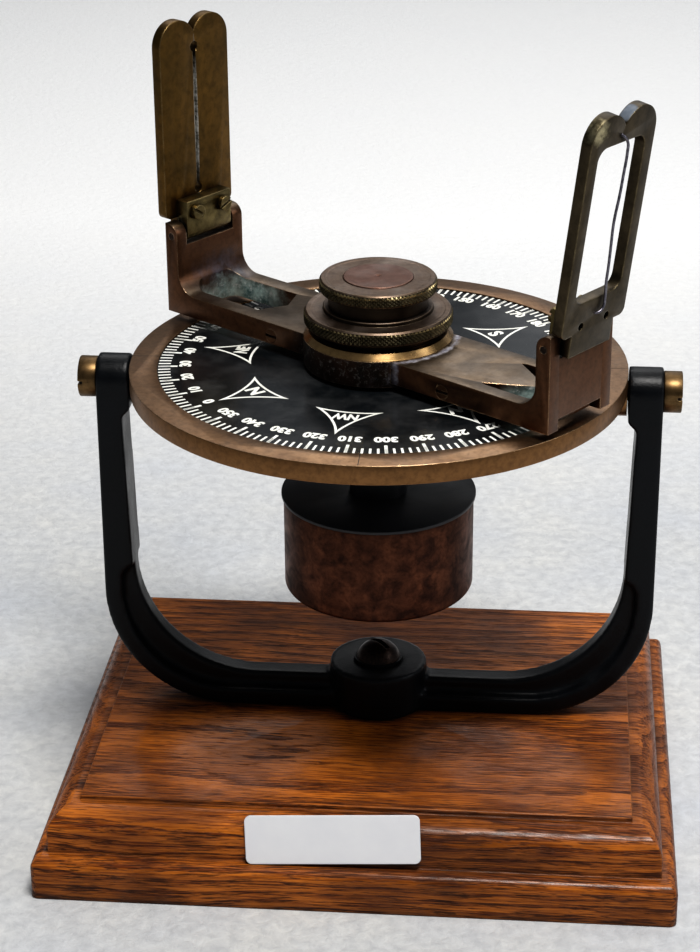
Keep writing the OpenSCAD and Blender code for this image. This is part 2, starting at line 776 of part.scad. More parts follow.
module sight_bar() {
    color([0.42, 0.31, 0.22]) on_bar() difference() {
        union() {
            rotate([90, 0, 0]) linear_extrude(bar_width, center = true) both_ends() bar_end_profile();
            translate([0, 0, bar_bottom]) cylinder(h = bar_thick, d = hub_d);
        }
        translate([0, 0, bar_bottom - over]) cylinder(h = bar_thick + 2 * over, d = spindle_d + 2 * fit);
        both_ends() bar_end_cuts();
        translate([0, 0, bar_bottom - over]) linear_extrude(clear) front_window_2d();
        translate([0, 0, bar_bottom - over]) linear_extrude(clear) mirror([1, 0]) rear_window_2d();
        set_screw_places() cylinder(h = set_screw_length + over, d = set_screw_d + 2 * fit);
    }
}

// The children in the near side of both arms, with +Z into the bar
module set_screw_places() {
    for (x = [-rear_screw_place, front_screw_place])
        translate([x, -bar_width / 2, arm_bottom + set_screw_rise]) rotate([-90, 0, 0]) children();
}

module bar_set_screws() {
    color("goldenrod") on_bar() set_screw_places() difference() {
        translate([0, 0, fit]) cylinder(h = set_screw_length, d = set_screw_d);
        translate([-set_screw_d / 2 - over, -slot_width / 2, -over])
            cube([set_screw_d + 2 * over, slot_width, slot_depth + over]);
    }
}

// Polished collar on top of the hub, with a broad chamfer
module hub_collar() {
    r = hub_d / 2;
    color([0.8, 0.62, 0.35]) on_gimbal() difference() {
        translate([0, 0, bar_top]) cylinder(h = collar_height, r1 = r, r2 = r - collar_chamfer);
        translate([0, 0, bar_top - over]) cylinder(h = collar_height + 2 * over, d = spindle_d + 2 * fit);
    }
}

module hinge_pin() {
    color("goldenrod") translate([hinge_x, 0, hinge_z]) rotate([90, 0, 0])
        cylinder(h = bar_width, d = hinge_pin_d, center = true);
}

module front_hinge_pin() {
    on_bar() hinge_pin();
}

module rear_hinge_pin() {
    on_bar() rotate([0, 0, 180]) hinge_pin();
}

// Sight vanes, drawn around the hinge pin: +X outward, +Z up

// The children moved from the hinge pin to the front end of the bar, leaning as they stand
module on_front_hinge() {
    on_bar() translate([hinge_x, 0, hinge_z]) rotate([0, front_lean, 0]) children();
}

module on_rear_hinge() {
    on_bar() rotate([0, 0, 180]) translate([hinge_x, 0, hinge_z]) children();
}

// Outline of a vane without its lobes: straight sides, shoulders, and a tongue between the ears
module vane_outline(height) {
    half = vane_width / 2;
    lobe_x = half - vane_lobe;
    lobe_z = height - vane_lobe;
    difference() {
        polygon([[-half, vane_foot], [half, vane_foot], [half, lobe_z], [lobe_x, lobe_z + vane_lobe / 2],
            [0, lobe_z + vane_lobe / 5], [-lobe_x, lobe_z + vane_lobe / 2], [-half, lobe_z]]);
        both_ends() translate([-half, vane_foot]) fillet_2d(vane_foot_round);
    }
    translate([-block_width / 2, -vane_tongue]) square([block_width, vane_tongue + vane_foot + over]);
}

module vane_screw_holes_2d() {
    for (y = [-vane_screw_spacing / 2, vane_screw_spacing / 2])
        translate([y, vane_screw_rise]) circle(d = vane_screw_d + 2 * fit);
}

// A flat shape drawn in the vane's own plane, given a thickness outward from x
module upright_plate(x, thick) {
    translate([x, 0, 0]) rotate([90, 0, 90]) linear_extrude(thick) children();
}

// A vane before its openings are cut: the plate with two round lobes at the top
module vane_blank(height) {
    lobe_x = vane_width / 2 - vane_lobe;
    upright_plate(vane_inner, vane_thick) vane_outline(height);
    for (y = [-lobe_x, lobe_x]) translate([0, y, height - vane_lobe])
        rod_x(vane_inner, vane_thick, 2 * vane_lobe);
}

module rear_vane() {
    color([0.4, 0.3, 0.16]) on_rear_hinge() difference() {
        vane_blank(rear_vane_height);
        upright_plate(vane_inner - over, vane_thick + 2 * over) {
            vane_screw_holes_2d();
            translate([-slit_width / 2, slit_start]) square([slit_width, slit_end - slit_start]);
            for (z = [slit_start, slit_end]) translate([0, z]) circle(d = slit_hole_d);
        }
    }
}

module front_vane() {
    color([0.4, 0.3, 0.16]) on_front_hinge() difference() {
        vane_blank(front_vane_height);
        upright_plate(vane_inner - over, vane_thick + 2 * over) {
            vane_screw_holes_2d();
            translate([0, sill_rise])
                rounded_rect(vane_width - 2 * upright_width, vane_window_height, vane_window_round);
            for (end = [wire_bends[0], wire_bends[wire_last]]) translate(end) circle(d = wire_d + 2 * fit);
        }
    }
}

// The brass block that turns on the pin: its knuckle is round but for a flat against the vane
module hinge_block() {
    color([0.6, 0.48, 0.22]) difference() {
        union() {
            translate([-block_inset, -block_width / 2, 0]) cube([block_thick, block_width, block_height]);
            intersection() {
                rotate([90, 0, 0]) cylinder(h = block_width, r = block_inset, center = true);
                translate([-block_inset, -block_width / 2, -block_inset])
                    cube([block_thick, block_width, 2 * block_inset]);
            }
        }
        rotate([90, 0, 0]) cylinder(h = block_width + 2 * over, d = hinge_pin_d + 2 * fit, center = true);
        upright_plate(-block_inset - over, block_thick + 2 * over) vane_screw_holes_2d();
    }
}

module front_hinge_block() {
    on_front_hinge() hinge_block();
}

module rear_hinge_block() {
    on_rear_hinge() hinge_block();
}

// Two slotted screws, headed on the inner side, whose ends stop short of the vane's outer face
module vane_screws() {
    length = block_thick + vane_thick - vane_screw_sunk;
    for (y = [-vane_screw_spacing / 2, vane_screw_spacing / 2])
        color("goldenrod") translate([-block_inset, y, vane_screw_rise]) difference() {
            union() {
                rod_x(-vane_screw_head, vane_screw_head, vane_screw_head_d);
                rod_x(-fit, length + fit, vane_screw_d);
            }
            rotate([y > 0 ? 35 : -20, 0, 0])
                translate([-vane_screw_head - over, -vane_screw_head_d / 2 - over, -slot_width / 2])
                    cube([slot_depth + over, vane_screw_head_d + 2 * over, slot_width]);
        }
}

module front_vane_screws() {
    on_front_hinge() vane_screws();
}

module rear_vane_screws() {
    on_rear_hinge() vane_screws();
}

// The wire's whole route: out of the upper hole, down its bends, and into the lower hole
function wire_route() = concat([[vane_inner + 0.5, wire_bends[0][0], wire_high]],
    [for (bend = wire_bends) [wire_t + wire_d, bend[0], bend[1]]],
    [[vane_inner + 0.5, wire_bends[wire_last][0], wire_low]]);

// The direction of a route at one of its points, halfway between its two pieces
function route_way(route, i) = let (
    into = route[i] - route[max(i - 1, 0)],
    out = route[min(i + 1, len(route) - 1)] - route[i])
    (norm(into) == 0 ? out / norm(out) : norm(out) == 0 ? into / norm(into) :
        (into / norm(into) + out / norm(out)) / norm(into / norm(into) + out / norm(out)));

// A ring of points round a route, whose sideways direction stays close to Y
function route_ring(at, way, r) = let (
    up = cross(way, [0, 1, 0]) / norm(cross(way, [0, 1, 0])),
    side = cross(up, way))
    [for (k = [0:wire_sides - 1]) at + r * (cos(360 * k / wire_sides) * side + sin(360 * k / wire_sides) * up)];

// The sighting wire, which runs down over the window and into a hole at each end
module sight_wire() {
    route = wire_route();
    rings = len(route);
    points = [for (i = [0:rings - 1]) each route_ring(route[i], route_way(route, i), wire_d / 2)];
    start = [for (k = [0:wire_sides - 1]) k];
    end = [for (k = [wire_sides - 1:-1:0]) (rings - 1) * wire_sides + k];
    walls = [for (i = [0:rings - 2], k = [0:wire_sides - 1], half = [0, 1]) let (
        a = i * wire_sides + k,
        b = i * wire_sides + (k + 1) % wire_sides)
        half == 0 ? [a, a + wire_sides, b] : [b, a + wire_sides, b + wire_sides]];
    color("silver") on_front_hinge() polyhedron(points, concat([start], walls, [end]));
}

// Clamp knobs

// A turned disc with a small chamfer on both rims, where the knurling is rolled
module knob_disc(d, thick) {
    rotate_extrude($fn = 120) polygon([[0, 0], [d / 2 - knob_chamfer, 0], [d / 2, knob_chamfer],
        [d / 2, thick - knob_chamfer], [d / 2 - knob_chamfer, thick], [0, thick]]);
}

module lower_knob() {
    color([0.3, 0.24, 0.16]) on_gimbal() difference() {
        union() {
            translate([0, 0, lower_foot_z]) cylinder(h = lower_foot_height + over, d = lower_foot_d);
            translate([0, 0, lower_rim_z]) knob_disc(lower_knob_d, lower_knob_thick);
            translate([0, 0, lower_top - lower_boss_height - over])
                cylinder(h = lower_boss_height + over, d1 = lower_boss_d, d2 = lower_boss_d - knob_chamfer);
        }
        translate([0, 0, lower_foot_z - over])
            cylinder(h = lower_top - lower_foot_z + 2 * over, d = spindle_d + 2 * fit);
    }
}

module upper_knob() {
    color([0.3, 0.24, 0.16]) on_gimbal() difference() {
        union() {
            translate([0, 0, upper_skirt_z]) cylinder(h = upper_skirt_height + over, d = upper_skirt_d);
            translate([0, 0, upper_rim_z]) knob_disc(upper_knob_d, upper_knob_thick);
        }
        translate([0, 0, upper_skirt_z - over])
            cylinder(h = spindle_top - upper_skirt_z + over + face_gap, d = spindle_d + 2 * fit);
        translate([0, 0, knob_cap_z]) cylinder(h = knob_cap_sunk + over, d = knob_cap_d + 2 * fit);
    }
}

module knob_cap() {
    color([0.6, 0.36, 0.28]) on_gimbal() translate([0, 0, knob_cap_z]) cylinder(h = knob_cap_thick, d = knob_cap_d);
}

base_board();
label_card();
yoke();
yoke_screw();
yoke_washer();
pivot_screws();
compass_ring();
ring_spider();
spider_screws();
spindle();
weight_stem();
weight_cap();
counterweight();
weight_nut();
compass_card();
card_hub();
sight_bar();
hub_collar();
bar_set_screws();
front_hinge_pin();
rear_hinge_pin();
lower_knob();
upper_knob();
knob_cap();
rear_vane();
rear_hinge_block();
rear_vane_screws();
front_vane();
front_hinge_block();
front_vane_screws();
sight_wire();
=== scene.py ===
import json
import math

import bmesh
import bpy
from mathutils import Euler, Matrix, Vector


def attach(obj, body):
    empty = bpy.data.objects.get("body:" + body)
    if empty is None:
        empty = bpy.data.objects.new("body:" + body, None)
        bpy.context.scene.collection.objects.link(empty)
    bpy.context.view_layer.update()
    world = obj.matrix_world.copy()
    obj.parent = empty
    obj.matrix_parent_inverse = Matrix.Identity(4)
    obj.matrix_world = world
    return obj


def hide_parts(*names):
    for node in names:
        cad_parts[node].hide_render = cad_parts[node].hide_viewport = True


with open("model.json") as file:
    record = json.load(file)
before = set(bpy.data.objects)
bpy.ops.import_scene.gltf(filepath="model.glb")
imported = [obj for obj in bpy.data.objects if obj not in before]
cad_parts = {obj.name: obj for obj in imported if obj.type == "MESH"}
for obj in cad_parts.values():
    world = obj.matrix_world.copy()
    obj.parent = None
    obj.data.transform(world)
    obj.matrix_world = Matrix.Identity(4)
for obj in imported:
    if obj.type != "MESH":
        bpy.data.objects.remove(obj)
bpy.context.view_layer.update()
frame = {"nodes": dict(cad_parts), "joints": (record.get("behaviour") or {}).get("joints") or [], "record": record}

MM = 0.001
NODES = frame["nodes"]
JOINTS = {joint["name"]: joint for joint in frame["joints"]}
BODY_OF = {name: body for body, names in frame["record"]["behaviour"]["bodies"].items() for name in names}

# Where the gimbal hangs: its pivot, and the lean of the spindle about the gimbal axis
PIVOT = Vector(JOINTS["ring_swing"]["pos_m"])
SPINDLE_AXIS = Vector(JOINTS["card_turn"]["axis"])
RING_LEAN = math.atan2(-SPINDLE_AXIS.y, SPINDLE_AXIS.z)
GIMBAL = Matrix.Translation(PIVOT) @ Matrix.Rotation(RING_LEAN, 4, "X")
TO_GIMBAL = GIMBAL.inverted()
FRONT_PIN = TO_GIMBAL @ Vector(JOINTS["front_vane_fold"]["pos_m"])
BAR_TURN = math.atan2(FRONT_PIN.y, FRONT_PIN.x)
SIGHT_BAR = GIMBAL @ Matrix.Rotation(BAR_TURN, 4, "Z")


def gimbal_box(node_name):
    """Lowest and highest corner of a CAD node in the gimbal's own frame, where the spindle is upright."""
    places = [TO_GIMBAL @ vertex.co for vertex in NODES[node_name].data.vertices]
    low = Vector([min(place[axis] for place in places) for axis in range(3)])
    high = Vector([max(place[axis] for place in places) for axis in range(3)])
    return low, high


# The tops of the two knurled rims, along the spindle; the lower knob has a raised middle above its rim
LOWER_RIM_TOP = gimbal_box("lower_knob")[1].z - 1.5 * MM
UPPER_RIM_TOP = gimbal_box("upper_knob")[1].z


# ---- shader helpers

def fill(tree, node, inputs):
    """The node's inputs linked or set; a colour is red, green and blue."""
    for name, value in inputs.items():
        socket = node.inputs[name]
        if isinstance(value, bpy.types.NodeSocket):
            tree.links.new(value, socket)
        else:
            socket.default_value = (*value, 1.0) if socket.type == "RGBA" else value


def put(tree, kind, inputs=None, **settings):
    """A node of that kind with its settings, and its inputs linked or set."""
    made = tree.nodes.new(kind)
    for name, value in settings.items():
        setattr(made, name, value)
    fill(tree, made, inputs or {})
    return made


def calc(tree, operation, a, b=None, clamp=False):
    inputs = {0: a}
    if b is not None:
        inputs[1] = b
    return put(tree, "ShaderNodeMath", inputs, operation=operation, use_clamp=clamp).outputs[0]


def times(tree, a, b, clamp=False):
    return calc(tree, "MULTIPLY", a, b, clamp)


def plus(tree, a, b):
    return calc(tree, "ADD", a, b)


def minus(tree, a, b):
    return calc(tree, "SUBTRACT", a, b)


def mix(tree, factor, a, b):
    return put(tree, "ShaderNodeMix", {0: factor, 6: a, 7: b}, data_type="RGBA").outputs[2]


def blend_value(tree, factor, a, b):
    return put(tree, "ShaderNodeMix", {0: factor, 2: a, 3: b}, data_type="FLOAT").outputs[0]


def stretch(tree, value, low, high, to_low=0.0, to_high=1.0):
    """A value moved from one range to another and kept inside it."""
    inputs = {0: value, 1: low, 2: high, 3: to_low, 4: to_high}
    return put(tree, "ShaderNodeMapRange", inputs, clamp=True).outputs[0]


def noise(tree, vector, scale, detail=4.0, roughness=0.55, distortion=0.0):
    inputs = {"Vector": vector, "Scale": scale, "Detail": detail, "Roughness": roughness, "Distortion": distortion}
    return put(tree, "ShaderNodeTexNoise", inputs).outputs[0]


def patchy(tree, vector, grain, *span):
    """Noise of a grain (scale, detail, roughness, distortion), stretched over a span into a mask."""
    return stretch(tree, noise(tree, vector, *grain), *span)


def drawn_out(tree, vector, scale):
    return put(tree, "ShaderNodeMapping", {"Vector": vector, "Scale": scale}).outputs[0]


def combined(tree, parts):
    return put(tree, "ShaderNodeCombineXYZ", parts).outputs[0]


def along(tree, vector, axis):
    return put(tree, "ShaderNodeSeparateXYZ", {0: vector}).outputs[axis]


def length(tree, vector):
    return put(tree, "ShaderNodeVectorMath", {0: vector}, operation="LENGTH").outputs["Value"]


def facing(tree, axis):
    """How far the surface's own direction points along an axis."""
    return along(tree, put(tree, "ShaderNodeNewGeometry").outputs["Normal"], axis)


def new_group(name, inputs, outputs):
    """A shader node group, the sockets that give its inputs, and its output node."""
    group = bpy.data.node_groups.new(name, "ShaderNodeTree")
    for label, kind, value in inputs:
        socket = group.interface.new_socket(label, in_out="INPUT", socket_type=kind)
        if value is not None:
            socket.default_value = value
    for label, kind in outputs:
        group.interface.new_socket(label, in_out="OUTPUT", socket_type=kind)
    return group, group.nodes.new("NodeGroupInput").outputs, group.nodes.new("NodeGroupOutput")


FLOAT, VECTOR, COLOUR = "NodeSocketFloat", "NodeSocketVector", "NodeSocketColor"


def make_edge_wear_group():
    """Edges rubbed bright: a mask along the outer edges, broken by noise, and a softly rounded normal; and a
    painted-shade mask where the surface is occluded.
    """
    group, given, out = new_group(
        "edge_wear",
        [("Vector", VECTOR, None), ("Radius", FLOAT, 0.0006), ("Breakup", FLOAT, 220), ("Amount", FLOAT, 1)],
        [("Wear", FLOAT), ("Occlusion Shade", FLOAT), ("Normal", VECTOR)],
    )
    bevel = put(group, "ShaderNodeBevel", {"Radius": given["Radius"]}, samples=4)
    flat = put(group, "ShaderNodeNewGeometry").outputs["Normal"]
    dot = put(group, "ShaderNodeVectorMath", {0: bevel.outputs[0], 1: flat}, operation="DOT_PRODUCT").outputs["Value"]
    edge = stretch(group, dot, 0.995, 0.86)
    shade = put(group, "ShaderNodeAmbientOcclusion", {"Distance": 0.004}, samples=4).outputs["AO"]
    outer = stretch(group, shade, 0.62, 0.85)
    broken = patchy(group, given["Vector"], (given["Breakup"], 5, 0.7), 0.38, 0.62, 0.25, 1)
    wear = times(group, times(group, edge, outer), broken)
    # Occlusion Shade is painted shade: full where the occlusion is deep, in crevices and corners.
    fill(group, out, {
        "Wear": times(group, wear, given["Amount"], clamp=True),
        "Occlusion Shade": stretch(group, shade, 0.95, 0.45),
        "Normal": bevel.outputs[0],
    })
    return group


def make_mottle_group():
    """Cloudy patches over finer spots, as handled bronze has."""
    group, given, out = new_group(
        "bronze_mottle",
        [("Vector", VECTOR, None), ("Patch Scale", FLOAT, 45), ("Spot Scale", FLOAT, 420)],
        [("Patches", FLOAT), ("Spots", FLOAT), ("Height", FLOAT)],
    )
    patches = noise(group, given["Vector"], given["Patch Scale"], 6, 0.6, 0.6)
    spots = noise(group, given["Vector"], given["Spot Scale"], 4, 0.65, 0.2)
    fill(group, out, {"Patches": stretch(group, patches, 0.36, 0.66), "Spots": stretch(group, spots, 0.42, 0.72)})
    height = plus(group, times(group, patches, 0.5), times(group, spots, 0.5))
    fill(group, out, {"Height": height})
    return group


def make_turning_group():
    """Fine rings left by the lathe, round the spindle's own axis."""
    group, given, out = new_group(
        "lathe_rings",
        [("Vector", VECTOR, None), ("Pitch", FLOAT, 0.0006)],
        [("Rings", FLOAT), ("Radius", FLOAT), ("Height", FLOAT)],
    )
    inputs = {"Vector": given["Vector"], "Location": PIVOT, "Rotation": Euler((RING_LEAN, 0, 0))}
    local = put(group, "ShaderNodeMapping", inputs, vector_type="TEXTURE").outputs[0]
    parts = put(group, "ShaderNodeSeparateXYZ", {0: local})
    square_x = times(group, parts.outputs[0], parts.outputs[0])
    square_y = times(group, parts.outputs[1], parts.outputs[1])
    radius = calc(group, "SQRT", plus(group, square_x, square_y))
    turns = calc(group, "DIVIDE", plus(group, radius, parts.outputs[2]), given["Pitch"])
    rings = put(group, "ShaderNodeTexNoise", {"W": turns, "Scale": 1, "Detail": 3, "Roughness": 0.7},
                noise_dimensions="1D").outputs[0]
    fill(group, out, {"Rings": rings, "Radius": radius, "Height": parts.outputs[2]})
    return group


def make_dust_group():
    """Pale specks and lint that lie on what faces upward."""
    group, given, out = new_group(
        "settled_dust",
        [("Vector", VECTOR, None), ("Scale", FLOAT, 900), ("Amount", FLOAT, 0.5)],
        [("Dust", FLOAT)],
    )
    upward = stretch(group, facing(group, 2), 0.3, 0.95)
    specks = put(group, "ShaderNodeTexVoronoi", {"Vector": given["Vector"], "Scale": given["Scale"]},
                 feature="F1").outputs["Distance"]
    small = stretch(group, specks, 0.13, 0.05)
    rare = patchy(group, given["Vector"], (130, 2, 0.5), 0.52, 0.62)
    film = patchy(group, given["Vector"], (60, 5, 0.65), 0.45, 0.8, 0, 0.35)
    dust = calc(group, "MAXIMUM", times(group, small, rare), film)
    dust = times(group, times(group, dust, upward), given["Amount"], clamp=True)
    fill(group, out, {"Dust": dust})
    return group


def make_oak_group():
    """Flat-sawn oak along X: growth bands, open pores in dashes, broad stain patches and darker end grain."""
    group, given, out = new_group(
        "oak_grain",
        [("Vector", VECTOR, None), ("Early Wood", COLOUR, None), ("Late Wood", COLOUR, None), ("Pore", COLOUR, None)],
        [("Color", COLOUR), ("Height", FLOAT), ("Pores", FLOAT)],
    )
    vector = given["Vector"]
    sway_way = drawn_out(group, vector, (0.35, 1, 1))
    sway = put(group, "ShaderNodeTexNoise",
               {"Vector": sway_way, "Scale": 16, "Detail": 2, "Roughness": 0.5}).outputs[1]
    swayed = put(group, "ShaderNodeVectorMath", {0: sway, 1: (0, 0.016, 0.016)}, operation="MULTIPLY").outputs[0]
    bent = put(group, "ShaderNodeVectorMath", {0: vector, 1: swayed}, operation="ADD").outputs[0]
    heart = put(group, "ShaderNodeMapping",
                {"Vector": bent, "Location": (0.03, 0.035, 0.10), "Scale": (0.10, 1, 1)}).outputs[0]
    growth = put(group, "ShaderNodeTexWave", {"Vector": heart, "Scale": 78, "Distortion": 2.2, "Detail": 3,
                                              "Detail Scale": 2.5, "Detail Roughness": 0.6},
                 wave_type="RINGS", rings_direction="X", wave_profile="SAW").outputs[1]
    fibre_way = drawn_out(group, vector, (0.04, 1, 1))
    fibre = noise(group, fibre_way, 1050, 5, 0.66, 0.1)
    pore_way = drawn_out(group, bent, (0.055, 1, 1))
    pore_noise = noise(group, pore_way, 1750, 3, 0.6)
    early = stretch(group, growth, 0.25, 0.85)
    pores = stretch(group, plus(group, pore_noise, times(group, early, 0.10)), 0.55, 0.66)
    patch_way = drawn_out(group, vector, (0.55, 1, 1))
    patches = patchy(group, patch_way, (26, 4, 0.6, 0.5), 0.46, 0.72)
    tone = plus(group, times(group, stretch(group, fibre, 0.38, 0.62), 0.66),
                times(group, growth, 0.34))
    wood = mix(group, stretch(group, tone, 0.2, 0.85), given["Early Wood"], given["Late Wood"])
    wood = mix(group, times(group, patches, 0.65), wood, given["Pore"])
    wood = mix(group, times(group, pores, 0.8), wood, given["Pore"])
    end_grain = stretch(group, calc(group, "ABSOLUTE", facing(group, 0)), 0.6, 0.95)
    end_way = drawn_out(group, vector, (1, 0.35, 1))
    specks = patchy(group, end_way, (900, 3, 0.6), 0.42, 0.62)
    ends = mix(group, specks, given["Late Wood"], given["Pore"])
    wood = mix(group, times(group, end_grain, 0.85), wood, ends)
    fill(group, out, {"Color": wood, "Height": minus(group, times(group, fibre, 0.5), pores), "Pores": pores})
    return group


EDGE_WEAR = make_edge_wear_group()
MOTTLE = make_mottle_group()
LATHE_RINGS = make_turning_group()
DUST = make_dust_group()
OAK_GRAIN = make_oak_group()


def use(tree, group, inputs):
    return put(tree, "ShaderNodeGroup", inputs, node_tree=group).outputs


def lathe(tree, where):
    return use(tree, LATHE_RINGS, {"Vector": where})


class Finish:
    """One material: its tree, its Principled shader and the object coordinates that its patterns read."""

    def __init__(self, name, **shader_values):
        self.material = bpy.data.materials.new(name)
        self.material.use_nodes = True
        self.tree = self.material.node_tree
        self.shader = self.tree.nodes["Principled BSDF"]
        self.where = put(self.tree, "ShaderNodeTexCoord").outputs["Object"]
        fill(self.tree, self.shader, {socket.replace("_", " "): value for socket, value in shader_values.items()})

    def mottle(self, patch, spots):
        return use(self.tree, MOTTLE, {"Vector": self.where, "Patch Scale": patch, "Spot Scale": spots})

    def edges(self, radius, amount, breakup=220):
        inputs = {"Vector": self.where, "Radius": radius, "Breakup": breakup, "Amount": amount}
        return use(self.tree, EDGE_WEAR, inputs)

    def lint(self, amount):
        return use(self.tree, DUST, {"Vector": self.where, "Amount": amount})["Dust"]

    def finished(self, tone, roughness, height, distance, strength, normal=None):
        """The material with its colour, its roughness and its bump in place."""
        inputs = {"Height": height, "Distance": distance, "Strength": strength}
        if normal is not None:
            inputs["Normal"] = normal
        bump = put(self.tree, "ShaderNodeBump", inputs).outputs[0]
        fill(self.tree, self.shader, {"Base Color": tone, "Roughness": roughness, "Normal": bump})
        return self.material


def side_mask(tree):
    """1 on upright walls, 0 on what faces up or down, from the surface's own direction."""
    return stretch(tree, calc(tree, "ABSOLUTE", facing(tree, 2)), 0.9, 0.4)


def layered(tree, where, base, layers):
    """A base colour under patches, each a colour, its strength, its grain and the span of its mask."""
    for tone, strength, grain, low, high in layers:
        base = mix(tree, times(tree, patchy(tree, where, grain, low, high), strength), base, tone)
    return base


def bronze(name, clean, dull, dark, bright, rough=(0.30, 0.5), wear=0.9, radius=0.0006, patch=45, spots=420,
           occlusion_shade=0.7, rings=0, dust=0.35, pitted=0.00006, walls=None, stains_and_painted_light=()):
    """Aged copper alloy: clean and dull patches, dark spots, painted shade in occluded crevices and on upright walls
    where walls is given, bright rubbed edges, and overlays if any.

    Each overlay, a real stain or a patch of painted light or shade, is a mask, its roughness, how little of it is
    metal, its base colour and the layers over that.
    """
    made = Finish(name, Metallic=1, Roughness=rough[0], IOR=1.5)
    tree, where = made.tree, made.where
    mottle = made.mottle(patch, spots)
    edges = made.edges(radius, wear)
    tone = mix(tree, mottle["Patches"], clean, dull)
    # Painted shade: upright walls take the walls tone, darker and more saturated than the tops, as if less lit.
    if walls is not None:
        tone = mix(tree, times(tree, side_mask(tree), 0.85), tone, walls)
    tone = mix(tree, times(tree, mottle["Spots"], 0.45), tone, dark)
    # Painted shade: the dark tone laid where the surface is occluded, in crevices and corners.
    tone = mix(tree, times(tree, edges["Occlusion Shade"], occlusion_shade), tone, dark)
    roughness = blend_value(tree, mottle["Patches"], rough[0], rough[1])
    metal = None
    for place, overlay_rough, mineral, base, layers in stains_and_painted_light:
        mask = place(tree, where)
        tone = mix(tree, mask, tone, layered(tree, where, base, layers))
        roughness = blend_value(tree, mask, roughness, overlay_rough)
        kept = minus(tree, 1, times(tree, mask, mineral))
        metal = kept if metal is None else times(tree, metal, kept)
    height = mottle["Height"]
    if rings:
        turned = lathe(tree, where)["Rings"]
        tone = mix(tree, stretch(tree, turned, 0.35, 0.7, 0, 0.35 * rings), tone, dark)
        height = plus(tree, times(tree, turned, rings), height)
    tone = mix(tree, edges["Wear"], tone, bright)
    roughness = blend_value(tree, edges["Wear"], roughness, 0.22)
    lint = made.lint(dust)
    tone = mix(tree, lint, tone, (0.62, 0.60, 0.58))
    roughness = blend_value(tree, lint, roughness, 0.9)
    unworn = minus(tree, 1, times(tree, lint, 0.9))
    metal = unworn if metal is None else times(tree, metal, unworn)
    fill(tree, made.shader, {"Metallic": metal})
    return made.finished(tone, roughness, height, pitted, 0.6, edges["Normal"])


def in_bar_frame(tree, where, centre, size):
    """Object coordinates turned with the sight bar, centred on a place along it and scaled to a soft spot."""
    inputs = {"Vector": where, "Location": SIGHT_BAR @ Vector(centre), "Rotation": SIGHT_BAR.to_euler(), "Scale": size}
    return put(tree, "ShaderNodeMapping", inputs, vector_type="TEXTURE").outputs[0]


def soft_spot(tree, where, centre, size, grain, low, high):
    """A ragged spot: full in its middle, broken up by noise towards its rim."""
    local = in_bar_frame(tree, where, centre, size)
    ragged = plus(tree, length(tree, local), times(tree, noise(tree, where, grain, 6, 0.7), 0.9))
    return stretch(tree, ragged, high, low)


def verdigris_mask(tree, where):
    """On the walls of the rear window and of the front arm's pointed window."""
    rear = soft_spot(tree, where, (-0.079, 0.004, 0.0155), (0.021, 0.020, 0.012), 140, 0.9, 1.5)
    front = soft_spot(tree, where, (0.083, -0.004, 0.0165), (0.016, 0.014, 0.010), 140, 0.8, 1.5)
    walls = side_mask(tree)
    return calc(tree, "MAXIMUM", times(tree, rear, walls), times(tree, front, walls))


def oxide_mask(tree, where):
    """The pale bloom that follows the collar's edge on the front arm."""
    rim = calc(tree, "ABSOLUTE", minus(tree, lathe(tree, where)["Radius"], 0.0325))
    ragged = plus(tree, rim, times(tree, noise(tree, where, 260, 6, 0.75), 0.006))
    front = along(tree, in_bar_frame(tree, where, (0, 0, 0), (1, 1, 1)), 0)
    return times(tree, stretch(tree, ragged, 0.0048, 0.0030), stretch(tree, front, 0.012, 0.02))


def hub_mask(tree, where):
    """The hub's upright wall, black with old lacquer."""
    return times(tree, stretch(tree, lathe(tree, where)["Radius"], 0.036, 0.031), side_mask(tree))


def blackened_mask(tree, where):
    """Painted shade: a dark bluish patch round the inner end of the rear window."""
    spot = soft_spot(tree, where, (-0.089, 0.006, 0.0285), (0.009, 0.022, 0.011), 120, 0.75, 1.45)
    return times(tree, spot, 0.85)


def slit_mask(tree, where):
    """The rear vane's slit, whose walls carry a painted highlight: pale grey for the light seen through the slit."""
    local = in_bar_frame(tree, where, (-0.103, 0, 0.093), (0.02, 0.00125, 0.037))
    return times(tree, stretch(tree, length(tree, local), 1, 0.8), side_mask(tree))


def rubbed_lobe_mask(tree, where):
    """Where the front vane's left lobe has been rubbed to bare brass."""
    spot = soft_spot(tree, where, (0.1150, -0.0150, 0.1325), (0.010, 0.0062, 0.0062), 230, 0.8, 1.35)
    return times(tree, spot, 0.85)


def notch_mask(tree, where):
    """The flank beside the front vane's notch, which carries a painted blue-grey sheen."""
    spot = soft_spot(tree, where, (0.1154, 0.0042, 0.1358), (0.0040, 0.0052, 0.0042), 60, 1.05, 1.35)
    normal = put(tree, "ShaderNodeNewGeometry").outputs["Normal"]
    square_on = put(tree, "ShaderNodeVectorMath", {0: normal, 1: SIGHT_BAR.to_3x3() @ Vector((1, 0, 0))},
                    operation="DOT_PRODUCT").outputs["Value"]
    return times(tree, spot, stretch(tree, calc(tree, "ABSOLUTE", square_on), 0.75, 0.45))


HUB_LACQUER = (hub_mask, 0.55, 0.2, (0.010, 0.008, 0.006), [
    ((0.042, 0.020, 0.012), 1, (90, 4, 0.6), 0.35, 0.65),
    ((0.17, 0.155, 0.145), 1, (520, 5, 0.75), 0.54, 0.66)])
